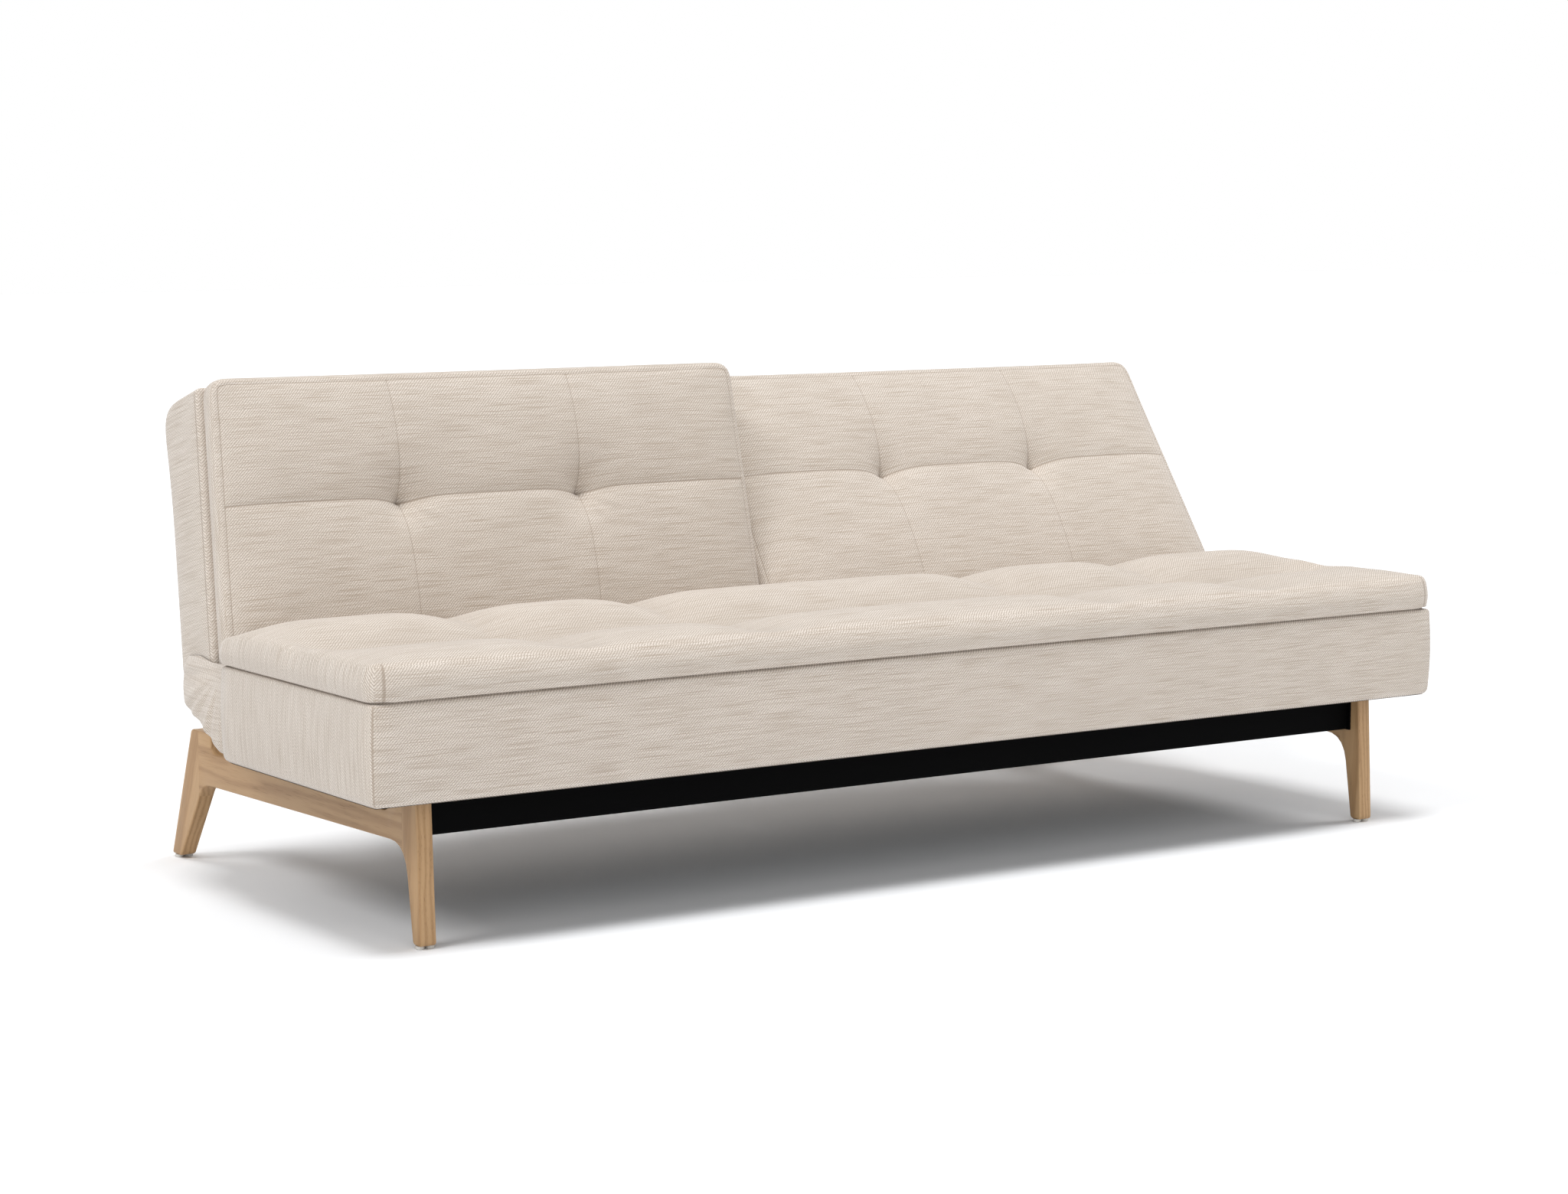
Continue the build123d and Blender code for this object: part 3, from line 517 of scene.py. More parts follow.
# %% [markdown]
# ## The form of the seat topper
# A long mattress cushion, stitched through in one row across and four seams along, with a tuft where they
# cross. Its form is carried by three lines from front to rear: over a pillow, along a seam and at the ends.
# Between them the heights are mixed by how far a point is from the nearest seam.

# %% Heights of the seat topper
SEAT_SEAMS = [v * MM for v in (-680, -340, 340, 680)]
SEAT_ROW = SEAT_FRONT + 265 * MM
SEAT_LOW, SEAT_EDGE, SEAT_CORNER = 382 * MM, 16 * MM, 6 * MM
seat_tufts = [(a, SEAT_ROW) for a in SEAT_SEAMS]
seat_a = [-HALF_WIDTH + SEAT_EDGE, *SEAT_SEAMS, HALF_WIDTH - SEAT_EDGE]
seat_b = [SEAT_FRONT - 2 * MM + SEAT_EDGE, SEAT_ROW, SEAT_FRONT + 534 * MM - SEAT_EDGE]


def rise(gap, reach, soft=0.0):
    """From 0 on a seam to 1 at a reach from it; soft rounds the bottom of the valley."""
    gap = np.sqrt(gap**2 + soft**2) - soft
    return 1 - (1 - np.clip(gap / reach, 0, 1)) ** 2


def nearest(values, stops):
    """The gap from each value to the nearest stop."""
    return np.min([abs(values - s) for s in stops], axis=0)


def to_ends(values, stops):
    """The gap from each value to the nearer end of a row of stops."""
    return nearest(values, (stops[0], stops[-1]))


def side_line(stops, samples=400, smooth=8):
    """A smooth line of heights from front to rear, through stops of depth and height."""
    depth = np.linspace(seat_b[0], seat_b[-1], samples)
    high = np.interp(depth, *np.array(stops, float).T * MM + [[SEAT_FRONT], [0]])
    window = np.ones(2 * smooth + 1) / (2 * smooth + 1)
    soft = np.convolve(np.pad(high, smooth, mode="edge"), window, mode="valid")
    return lambda b: np.interp(b, depth, soft)


on_pillow = side_line([
    (14, 57), (45, 63), (85, 66), (115, 65), (140, 61), (180, 53), (220, 44), (262, 32), (285, 34),
    (305, 41), (330, 54), (360, 67), (390, 73), (415, 73), (455, 68), (495, 55), (518, 40)])
on_seam = side_line([
    (14, 55), (60, 51), (100, 49), (130, 47), (160, 44), (188, 41), (218, 36), (262, 26), (295, 33),
    (330, 45), (370, 52), (420, 54), (465, 51), (495, 45), (518, 40)])
at_end = side_line([(14, 57), (200, 57), (262, 52), (330, 57), (450, 54), (495, 46), (518, 40)])


def seat_height(a, b):
    """Pillows with a steep valley on the row seam, softer ones on the columns, and a low rear edge."""
    column = rise(nearest(a, SEAT_SEAMS), reach=0.11, soft=0.015)
    inner = rise(to_ends(a, seat_a), reach=0.10)
    high = on_seam(b) + (on_pillow(b) - on_seam(b)) * column
    return at_end(b) + (high - at_end(b)) * inner


print("seat topper, tufts at", [(round(a, 3), round(b, 3)) for a, b in seat_tufts])

# %% [markdown]
# ## Sewing the seat topper
# The slab swells between its seams. Then the seams and tufts are drawn in on the finer mesh, and the hollows
# are marked for painted shade in the cloth. The seam down each front corner gets a path for its stitches.

# %% Seat topper
SAME = 1e-6  # places on the cloth that are closer than this are one
WALL_MOST = 0.9  # no wall is this deep, so deeper cloth lies underneath
CORNER_HOLD, CORNER_REACH = 0.7, 70 * MM
CREASE_WIDE, CREASE_LONG, DROP_REACH = 9 * MM, 36 * MM, 42 * MM
WRINKLE_WIDE, WRINKLE_LONG, WRINKLE_TURNS = 6 * MM, 85 * MM, (math.radians(-28), math.radians(-55))


def bell(gap, width):
    return np.exp(-((gap / width) ** 2))


def gap_to(cut, marks):
    """The gap from each place on the cloth to the nearest mark."""
    return np.min([np.hypot(cut[:, 0] - a, cut[:, 1] - b) for a, b in marks], axis=0)


def hold(block, seams, tufts, tuft_reach, rim, corners, cut):
    """How firmly each point is held, from 0 to 1: the seams as given, the tufts and the foot fully, and the
    rim and the corners, where the cover is drawn tight, a little. The cut that the corners are sought on is
    given, because the left back's is folded over to the right."""
    on_top = cut[:, 2] == 0
    held = np.where(on_top, seams, 0)
    held[on_top & (gap_to(block["cut"], tufts) < tuft_reach)] = 1
    held[block["rim"]] = np.maximum(held[block["rim"]], rim)
    tight = CORNER_HOLD * np.clip(1 - gap_to(cut, corners) / CORNER_REACH, 0, 1)
    held = np.maximum(held, np.where(cut[:, 2] < WALL_MOST, tight, 0))
    held[block["foot"]] = 1
    return held


def corners_of(a, b):
    return [(x, y) for x in (a[0], a[-1]) for y in (b[0], b[-1])]


def sew(made, seams, depth, width):
    """Draws the cover in along its seams, and stores how far each point is from one."""
    gap = seams(*recall_cut(made))
    pull = depth * bell(gap, width)
    move(made, spots(made) - spots(made, "normal") * pull[:, None])
    keep(made, seam=gap)


def draw_in(made, tufts, depth, reach, crease=0.0, drop=0.0):
    """Draws the cover in at its tufts: a dimple, a crease that runs up from it and two folds that run off
    below; drop pulls the cloth round the dimple down."""
    points = spots(made)
    x, z, c = recall_cut(made)
    inward, down = np.zeros(len(points)), np.zeros(len(points))
    for tuft_x, tuft_z in tufts:
        dx, dz = x - tuft_x, z - tuft_z
        far = np.hypot(dx, dz)
        inward += depth * np.exp(-far / reach)
        up_only = np.exp(-abs(dz) / CREASE_LONG) * (dz > -1 * MM)
        inward += crease * np.exp(-abs(dx) / CREASE_WIDE) * up_only
        down += drop * bell(far, DROP_REACH)
        for turn in WRINKLE_TURNS:
            run = dx * math.cos(turn) + dz * math.sin(turn)
            off = dz * math.cos(turn) - dx * math.sin(turn)
            wrinkle = np.clip(np.sin(math.pi * np.clip(run / WRINKLE_LONG, 0, 1)), 0, 1)
            inward -= crease * 0.2 * wrinkle * bell(off, WRINKLE_WIDE)
    inward[c > SAME] = down[c > SAME] = 0
    move(made, points - np.column_stack([0 * down, down, inward]))


seat = slab(corner_lines(seat_a, SEAT_CORNER, 11 * MM), corner_lines(seat_b, SEAT_CORNER, 11 * MM),
            seat_height, SEAT_EDGE, SEAT_EDGE + SEAT_CORNER, bottom_round=3 * MM, bulge=3 * MM, rows=3)
topper = cover("seat_topper_cover", seat["points"], seat["quads"], True)
cut = seat["cut"]
keep(topper, **dict(zip(CUT, cut.T)))
valley = np.minimum(nearest(cut[:, 0], SEAT_SEAMS), abs(cut[:, 1] - SEAT_ROW))
held = hold(seat, 0.8 * bell(valley, 35 * MM), seat_tufts, 12 * MM, rim=0.5,
            corners=corners_of(seat_a, seat_b), cut=cut)
swell(topper, held, pressure=1.6, most=6 * MM)
refine(topper)

corner_line = seat_a[-1] - SEAT_CORNER
a, b, c = recall_cut(topper)
on_front = (c > SAME) & (c < WALL_MOST) & (abs(b - seat_b[0]) < SAME)


def seat_gap(a, b, c):
    top = np.minimum(abs(b - SEAT_ROW), nearest(a, SEAT_SEAMS))
    return np.where(on_front, abs(abs(a) - corner_line), np.where(c < SAME, top + 2 * MM, FAR))


# Painted shade: how deep a point lies in the valleys along the row and column seams, for the cloth to darken
# there.
hollow = np.maximum(bell(b - SEAT_ROW, 72 * MM), 0.6 * bell(nearest(a, SEAT_SEAMS), 38 * MM))
keep(topper, hollow=np.where(c < SAME, hollow * rise(to_ends(a, seat_a), reach=0.16), 0))
draw_in(topper, seat_tufts, depth=15 * MM, reach=32 * MM)
sew(topper, seat_gap, depth=1.5 * MM, width=8 * MM)
move(topper, spots(topper) + [0, 0, SEAT_LOW])
stitch_paths = {"base": []}


def stitch_corners(points, on_seam, along, aside, forward):
    """Paths of stitches beside the seams down the two front corners, in the order of a value along them."""
    for side in (-1, 1):
        down = np.flatnonzero(on_seam & (points[:, 0] * side > 0))
        down = down[np.argsort(along[down])]
        stitch_paths["base"].append(points[down] + [-side * aside, -forward, 0])


on_corner = on_front & (c < 0.06) & (abs(abs(a) - corner_line) < SAME)
stitch_corners(spots(topper), on_corner, c, aside=2.5 * MM, forward=0.3 * MM)
hand_over(topper, "base", "seat_topper")
print("seat topper", len(topper.data.polygons), "faces")

# %% [markdown]
# ## The back toppers
# Each back carries a thinner cushion with three columns and two rows. Its outer end leans inwards a little,
# and its top corner is round. The row seam is a clear crease with two tufts; the other seams are fine lines.

# %% Back toppers
BACK_SEAMS = [v * MM for v in (340, 680)]
BACK_ROW = 227 * MM
BACK_LOW, BACK_TOP = -55 * MM, 437 * MM
BACK_REAR = -45 * MM
BACK_EDGE, BACK_CORNER = 11 * MM, 16 * MM
SPLIT_HALF = 3 * MM
SHELL_LOW, SHELL_END = -27 * MM, 1028 * MM
END_LEAN = 0.07


def back_end(upward):
    """How far out the end of a back is, at a height above the hinge line."""
    return SHELL_END - END_LEAN * (upward - SHELL_LOW)


def drawn_in(x, upward, start, run):
    """How far that lean draws a point in: not at all before a start along the back, fully after a run."""
    return END_LEAN * upward * np.clip((abs(x) - start) / run, 0, 1)


def on_side(along, side):
    """Grid lines of the right back, or turned round for the left one."""
    return along if side > 0 else -along[::-1]


def put_back(points, name):
    """From the slab of a back topper (along, up, outward) to its place on the back."""
    x = points[:, 0] - SIDE[name] * drawn_in(points[:, 0], points[:, 1], start=0.68, run=0.34)
    return lean_back(np.column_stack([x, BACK_REAR - points[:, 2], points[:, 1]]), name)


def sew_back(name):
    side = SIDE[name]
    stops_a = [SPLIT_HALF + BACK_EDGE, *BACK_SEAMS, back_end(0) - 4 * MM - BACK_EDGE]
    stops_b = [BACK_LOW + BACK_EDGE, BACK_ROW, BACK_TOP - BACK_EDGE]
    tufts = [(side * s, BACK_ROW) for s in BACK_SEAMS]

    def height(a, b):
        border = rise(to_ends(abs(a), stops_a), reach=0.09) * rise(to_ends(b, stops_b), reach=0.12)
        pillow = rise(abs(b - BACK_ROW), reach=0.10, soft=0.004)
        return 32 * MM + border * (9 + 5 * pillow) * MM

    def gap(a, b, c):
        border = np.minimum(to_ends(abs(a), stops_a), to_ends(b, stops_b))
        columns = nearest(abs(a), BACK_SEAMS) + 0.8 * MM
        return np.where(c < SAME, np.minimum(np.minimum(abs(b - BACK_ROW), columns), border), FAR)

    block = slab(on_side(corner_lines(stops_a, BACK_CORNER, 9 * MM), side),
                 corner_lines(stops_b, BACK_CORNER, 9 * MM),
                 height, BACK_EDGE, BACK_EDGE + BACK_CORNER, bottom_round=3 * MM, bulge=1 * MM, rows=2)
    made = cover(f"{name}_back_topper_cover", block["points"], block["quads"])
    cut = block["cut"]
    keep(made, **dict(zip(CUT, cut.T)))
    row = np.where(abs(cut[:, 1] - BACK_ROW) < SAME, 0.25, 0)
    held = hold(block, row, tufts, 10 * MM, rim=0.3, corners=corners_of(stops_a, stops_b), cut=abs(cut))
    swell(made, held, pressure=1.2, most=7 * MM)
    refine(made)
    sew(made, gap, depth=1.3 * MM, width=5 * MM)
    draw_in(made, tufts, depth=24 * MM, reach=29 * MM, crease=9 * MM, drop=7 * MM)
    a, b, c = recall_cut(made)
    up = np.flatnonzero((c < SAME) & (abs(abs(a) - stops_a[-1]) < SAME))
    over = np.flatnonzero((c < SAME) & (abs(b - stops_b[-1]) < SAME) & (abs(a) < stops_a[-1] - SAME))
    border = np.concatenate([up[np.argsort(b[up])], over[np.argsort(-abs(a[over]))]])
    path = spots(made)[border] + spots(made, "normal")[border] * 0.3 * MM
    stitch_paths[f"{name}_back"] = [put_back(path - [side * 2 * MM, 2 * MM, 0], name)]
    move(made, put_back(spots(made), name))
    hand_over(made, f"{name}_back", f"{name}_back_topper")
    print(made.name, len(made.data.polygons), "faces")


for name in SIDE:
    sew_back(name)

# %% [markdown]
# ## The seat base
# Under the topper is an upholstered box: a firm block with the cover drawn tight round it and a seam down
# each front corner. It hardly swells, so a slab with rounded edges is enough. A welt, which is a roll in the
# same cloth, runs round its top edge.

# %% Seat base and welt
BASE_LOW, BASE_HIGH, BASE_DEPTH = 226 * MM, 379 * MM, 520 * MM
BASE_EDGE, BASE_CORNER, FIRM = 6 * MM, 3 * MM, 0.95
WELT_LOW, WELT_TALL, WELT_EDGE, WELT_INSET, WELT_DEPTH = (v * MM for v in (373, 16, 4, 8.5, 516))
base_a = [-HALF_WIDTH + BASE_EDGE, HALF_WIDTH - BASE_EDGE]
base_b = [SEAT_FRONT + BASE_EDGE, SEAT_FRONT + BASE_DEPTH - BASE_EDGE]


def level(high):
    """A flat top for a slab."""
    return lambda a, b: np.full(a.shape, high)


block = slab(corner_lines(base_a, BASE_CORNER, 24 * MM), corner_lines(base_b, BASE_CORNER, 24 * MM),
             level(BASE_HIGH - BASE_LOW), BASE_EDGE, corner=13 * MM, bottom_round=14 * MM, bulge=3 * MM,
             rows=8)
seat_box = cover("seat_base_cover", block["points"], block["quads"], True)
cut = block["cut"]
wall = (cut[:, 2] > 0) & (cut[:, 2] < UNDERSIDE)
corner_gap = np.hypot(abs(cut[:, 0]) - base_a[1], cut[:, 1] - base_b[0])
keep(seat_box, seam=np.where(wall, corner_gap, FAR))
raised = spots(seat_box) + [0, 0, BASE_LOW]
recessed = (cut[:, 2] == UNDERSIDE) & (abs(raised[:, 0]) < HALF_WIDTH - 40 * MM)
recessed &= (raised[:, 1] > base_b[0] + 20 * MM) & (raised[:, 1] < base_b[1] - 20 * MM)
raised[recessed, 2] += 3 * MM
move(seat_box, raised)
stitch_corners(raised, wall & (corner_gap < SAME), raised[:, 2], aside=5 * MM, forward=2.6 * MM)

welt_end = HALF_WIDTH - WELT_INSET - WELT_EDGE
welt_b = [SEAT_FRONT + WELT_INSET + WELT_EDGE, SEAT_FRONT + WELT_DEPTH - WELT_EDGE]
rope = slab(lines([-welt_end, welt_end], 30 * MM), lines(welt_b, 30 * MM),
            level(WELT_TALL), WELT_EDGE, corner=18 * MM, bottom_round=4 * MM, bulge=1 * MM, rows=3)
welt = cover("seat_welt", rope["points"] + [0, 0, WELT_LOW], rope["quads"])
keep(welt, seam=FAR)
hand_over(welt, "base")
hand_over(seat_box, "base", "seat_base")
print("seat base", len(seat_box.data.polygons), "faces, welt", len(welt.data.polygons))

# %% [markdown]
# ## The back shells
# Behind each topper is a stiff upholstered shell with a flared, rounded top. Its side outline is the same
# all along, so the outline is drawn once and carried along the sofa, with the ends rounded over.

# %% Back shells
SHELL_TURN, SHELL_STATIONS = 9 * MM, np.linspace(0.06, 0.97, 40)
END_SEAM = -22 * MM  # depth of the seam on a shell's ends
shell_corners = [(-31, -27, 9), (92, -27, 14), (95, 260, 60), (111, 404, 34), (86, 427, 36), (-31, 431, 7)]


def smooth_outline(corners, pieces=6, most=0.48):
    """A closed outline from corners (depth, height, rounding), each rounded off with a short curve that
    takes at most that share of a side."""
    out, count = [], len(corners)
    for k, (y, z, radius) in enumerate(corners):
        here = np.array([y, z])
        to = [np.array(corners[(k + d) % count][:2]) - here for d in (-1, 1)]
        ends = [here + v / np.linalg.norm(v) * min(radius, most * np.linalg.norm(v)) for v in to]
        for t in np.linspace(0, 1, pieces):
            out.append((1 - t) ** 2 * ends[0] + 2 * t * (1 - t) * here + t**2 * ends[1])
    return np.array(out)


def divide(outline, step):
    """Adds points along the long runs of a closed outline."""
    out = []
    for here, there in zip(outline, np.roll(outline, -1, axis=0)):
        parts = max(1, round(float(np.linalg.norm(there - here)) / step))
        out += [here + (there - here) * k / parts for k in range(parts)]
    return np.array(out)


def carry(outline, stations):
    """Rings of the outline, closed at the ends; a station is a ring's X, how far it is drawn in and its
    share of the full size."""
    low, high = outline.min(axis=0), outline.max(axis=0)
    middle, rings = (low + high) / 2, []
    for x, far, share in stations:
        ring = middle + (outline - middle) * (1 - 2 * far / (high - low)) * share
        rings.append(np.column_stack([np.full(len(ring), x), ring]))
    at = np.arange(len(rings) * len(outline)).reshape(len(rings), -1)
    return np.concatenate(rings), [*grid_quads(np.column_stack([at, at[:, 0]])), at[0], at[-1][::-1]]


def sew_shell(name):
    side, turn = SIDE[name], SHELL_TURN
    rounded = [(turn * (1 - math.cos(t)), turn * (1 - math.sin(t))) for t in QUARTER]
    stations = [(SPLIT_HALF, turn, 0.3), (SPLIT_HALF, turn, 0.7)]
    stations += [(SPLIT_HALF + out, drawn, 1) for out, drawn in rounded]
    stations += [(x, 0, 1) for x in SHELL_STATIONS]
    stations += [(SHELL_END - out, drawn, 1) for out, drawn in reversed(rounded)]
    stations += [(SHELL_END + 2 * MM, turn, 0.7), (SHELL_END + 3 * MM, turn, 0.3)]
    points, quads = carry(shell_outline, stations)
    points[:, 0] -= drawn_in(points[:, 0], points[:, 2] - SHELL_LOW, start=0.5, run=0.5)
    points[:, 0] *= side
    made = cover(f"{name}_back_shell_cover", points, [q[::-side] for q in quads])
    on_end = abs(points[:, 0]) > back_end(points[:, 2]) - 6 * MM
    keep(made, seam=np.where(on_end, abs(points[:, 1] - END_SEAM), FAR))
    move(made, lean_back(points, name))
    hand_over(made, f"{name}_back", f"{name}_back_shell")
    print(made.name, len(made.data.polygons), "faces")


shell_outline = divide(smooth_outline([[v * MM for v in corner] for corner in shell_corners]), 18 * MM)
for name in SIDE:
    sew_shell(name)

# %% [markdown]
# ## The recessed band and the rear panel
# Between shell and topper runs a band of cloth, set back a little from both, and the shell is closed behind
# by a flat panel that is sewn on. Both are thin pads that follow the shell.

# %% Recessed bands and rear panels
PAD_TURN = 3 * MM


def shell_front(upward):
    return -30 * MM


def shell_rear(upward):
    """How far back the shell's rear is at a height, a little under its cloth."""
    return np.interp(upward, [-0.027, 0.26, 0.33, 0.401], [0.092, 0.0945, 0.1005, 0.110]) - 2 * MM


def sew_pad(name, label, reach, inset, foot, way, thick, node=None):
    """A thin pad on a back: its reach in height, its inset from the split and from the outer end, the face
    that it lies on, and whether it stands out from that to the front (-1) or to the rear (1)."""
    side, turn = SIDE[name], PAD_TURN
    (low, high), (inner, outer) = (np.array(pair) * MM for pair in (reach, inset))
    a = on_side(lines([inner + turn, back_end(0) - outer - turn], 25 * MM), side)
    b = lines([low + turn, high - turn], 22 * MM)
    block = slab(a, b, level(thick), turn, turn + 6 * MM, bottom_round=turn * 0.3, bulge=0, rows=2)
    points = block["points"]
    made = cover(f"{name}_{label}", points, block["quads"])
    corner = np.maximum(to_ends(points[:, 0], a), to_ends(points[:, 1], b)) < 12 * MM
    on_rim = np.isin(np.arange(len(points)), block["rim"])
    keep(made, seam=np.where(on_rim & ~corner, 0.0, FAR))
    x = points[:, 0] - side * drawn_in(points[:, 0], points[:, 1], start=0.5, run=0.5)
    if way > 0:
        made.data.flip_normals()
    flat = np.column_stack([x, foot(points[:, 1]) + way * points[:, 2], points[:, 1]])
    move(made, lean_back(flat, name))
    hand_over(made, f"{name}_back", node)


for name in SIDE:
    sew_pad(name, "back_band", (-20, 427), (8, 12), shell_front, -1, 16 * MM)
    sew_pad(name, "back_rear_panel", (30, 400), (39, 64), shell_rear, 1, 4.5 * MM, f"{name}_back_rear_cover")
print("bands and rear panels on both backs")

# %% [markdown]
# ## The cloth folds
# Where a back meets the seat, loose cloth bridges the gap under the hinge and is gathered at the outer end,
# so that nothing opens up when the back is laid flat. Each fold is one sheet: along the underside, then
# round the corner and up the end, with gathers that fan out from a point below the hinge.

# %% Cloth folds
FOLD_REAR = SEAT_FRONT + 521 * MM
FOLD_CORNER, FOLD_TURN, CORNER_SHARE = 1.0, 13 * MM, 0.2
FOLD_SEED = {"left": 11, "right": 12}
FOLD_UNDER = ((10, -115), (40, -96), (66, -81), (86, -59), (93, -30), (93, 2))
FOLD_OVER = ((-34, -14), (10, 4), (55, 10), (84, 12))
GATHER_POINT = np.array([FOLD_REAR + 24 * MM, 372 * MM])
# How far out the end stands from front to rear: at its fullest, and where it is tucked in above
FOLD_FULL = ((0, 0.1, 0.5, 0.85, 1), (1.036, 1.043, 1.044, 1.032, 1.0205))
FOLD_TUCKED = ((0, 0.3, 0.8, 1), (1.034, 1.0295, 1.0285, 1.0205))
FOLD_RIPPLE = ((0, 0.85, 1.0), (0.5, 0.7, 1.3))  # in shares of two millimetres, along the sofa


def lengths(points):
    """How far along a line each of its points lies."""
    return np.concatenate([[0], np.cumsum(np.linalg.norm(np.diff(points, axis=0), axis=1))])


def bend_line(stops, count, samples=200, rounds=60):
    """A smooth line through stops, evenly divided."""
    stops = np.asarray(stops, float)
    knots = lengths(stops)
    fine = np.linspace(0, 1, samples) * knots[-1]
    raw = np.stack([np.interp(fine, knots, stops[:, k]) for k in (0, 1)], axis=1)
    for _ in range(rounds):
        raw[1:-1] = (raw[:-2] + 2 * raw[1:-1] + raw[2:]) / 4
    run = lengths(raw)
    return np.stack([np.interp(np.linspace(0, run[-1], count), run, raw[:, k]) for k in (0, 1)], axis=1)


def side_points(name, stops):
    """Points of a back's side view (rearward and upward in mm), leaned into place."""
    return [lean_back([(0, rearward * MM, upward * MM)], name)[0, 1:] for rearward, upward in stops]


def sew_fold(name, count=72):
    side, turn = SIDE[name], FOLD_TURN
    chance = np.random.default_rng(FOLD_SEED[name])
    under = [(FOLD_REAR, 229 * MM), (FOLD_REAR + 30 * MM, 230 * MM), *side_points(name, FOLD_UNDER)]
    over = [(FOLD_REAR, 378 * MM), *side_points(name, FOLD_OVER)]
    low, high, t = bend_line(under, count), bend_line(over, count), np.linspace(0, 1, count)
    tall = np.linalg.norm(high - low, axis=1)[:, None]
    upward = (high - low) / tall
    waves = [(n, chance.uniform(0, math.tau)) for n in (4, 7, 11)]
    ripple = sum(np.sin(math.tau * t * n + p) / n**0.5 for n, p in waves) * np.sin(math.pi * t)

    def gather(rows):
        """Creases that fan out from the point where the cloth is drawn together."""
        out = rows - GATHER_POINT
        angle, far = np.arctan2(out[:, 1], out[:, 0]), np.hypot(out[:, 0], out[:, 1])
        crease = sum(np.sin(angle * n * 2.6 + p) / n**0.4 for n, p in waves)
        return crease * np.clip((far - 8 * MM) / (60 * MM), 0, 1) * np.sin(math.pi * t) ** 0.7

    def rippled(rows, height):
        return rows + np.column_stack([0 * t, height * ripple])

    grid = []
    for x in np.linspace(4 * MM, FOLD_CORNER, 60):
        ripple_by = np.interp(x, *FOLD_RIPPLE) * 2 * MM
        grid.append(np.column_stack([np.full(count, x), rippled(low, ripple_by)]))
    full, tucked = np.interp(t, *FOLD_FULL), np.interp(t, *FOLD_TUCKED)
    for share in np.linspace(0, 1, 26)[1:]:
        round_it = min(share / CORNER_SHARE, 1)
        bend = round_it * math.pi / 2
        climb = max(share - CORNER_SHARE, 0) / (1 - CORNER_SHARE)
        lift = turn * (1 - math.cos(bend)) + climb * (tall - turn)
        rows = rippled(low + upward * lift, 2.6 * MM * (1 - round_it))
        x = FOLD_CORNER + (full - FOLD_CORNER) * math.sin(bend) ** 0.7
        flat = np.clip((share - 0.35) / 0.65, 0, 1) ** 1.5
        x = x * (1 - flat) + tucked * flat
        grid.append(np.column_stack([x + 3 * MM * gather(rows) * math.sin(bend) * (1 - flat), rows]))
    points = np.concatenate(grid)
    points[:, 0] *= side
    quads = grid_quads(np.arange(len(points)).reshape(len(grid), count))
    made = cover(f"{name}_fold_cloth", points, quads[:, ::side])
    keep(made, seam=FAR)
    refine(made)
    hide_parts(f"{name}_fold_fabric")
    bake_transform(made)


for name in SIDE:
    sew_fold(name)

# %% [markdown]
# ## The oak
# The side frames are light oak with a satin lacquer. Oak shows three things: broad bands from the year
# rings, which draw arches on a face that cuts them flat, fine dark pores along the grain, and a slow change
# of tone. The rings are circles round a heart that lies outside the piece, so one finish serves a leg and a
# rail once its grain is turned to run along the piece.

# %% Oak finish
OAK_LIGHT = (0.50, 0.32, 0.165, 1)
OAK_DARK = (0.335, 0.19, 0.085, 1)
OAK_PORE = (0.24, 0.14, 0.065, 1)
YEAR = 0.0085


def oak_finish(name, turn, heart):
    """Oak whose grain runs up the piece after a turn about X, with the heart of the tree off to one side."""
    material, flow, shader = finish(name)
    turned = {"Vector": flow.place(), "Location": heart, "Rotation": (turn, 0, 0)}
    grain = flow.node("ShaderNodeMapping", {}, turned)
    drawn = grain.stretch(1.0, 1.0, 0.07)
    x, y = grain.axis("X"), grain.axis("Y")
    far = flow.maths("SQRT", x * x + y * y) + drawn.noise(22.0, 3.0) * 0.034
    ring = far.wave(YEAR) ** 1.6
    pore = grain.stretch(900.0, 900.0, 26.0).noise(1.0, 1.0).step(0.58, 0.72)
    tone = drawn.noise(14.0).step(0.25, 0.75)
    colour = (ring * 0.75).blend(OAK_LIGHT, OAK_DARK)
    colour = (tone * 0.35).blend(colour, OAK_DARK)
    colour = (pore * (ring * 0.5 + 0.25)).blend(colour, OAK_PORE)
    feed(shader, Base_Color=colour, Roughness=pore * 0.1 + 0.46, Normal=(1 - pore).bump(0.15, 0.0004),
         Specular_IOR_Level=0.35)
    return material


front_slope = math.atan2(26, 221)
rear_slope = math.atan2(86, 223)
oak = {
    "front_leg": oak_finish("oak_front_leg", -front_slope * 0.6, (0.3, 0.40, 0.0)),
    "side_rail": oak_finish("oak_side_rail", math.pi / 2, (0.05, 0.31, 0.0)),
    "rear_leg": oak_finish("oak_rear_leg", -rear_slope, (0.1, -0.24, 0.0)),
}
print("oak finishes", list(oak))

# %% [markdown]
# ## The oak side frames
# Each side frame is one outline, 27 mm thick, glued from two legs and a rail. All its edges are rounded
# over generously, so the outline is extruded, bevelled, and then cut at the two glue joints.

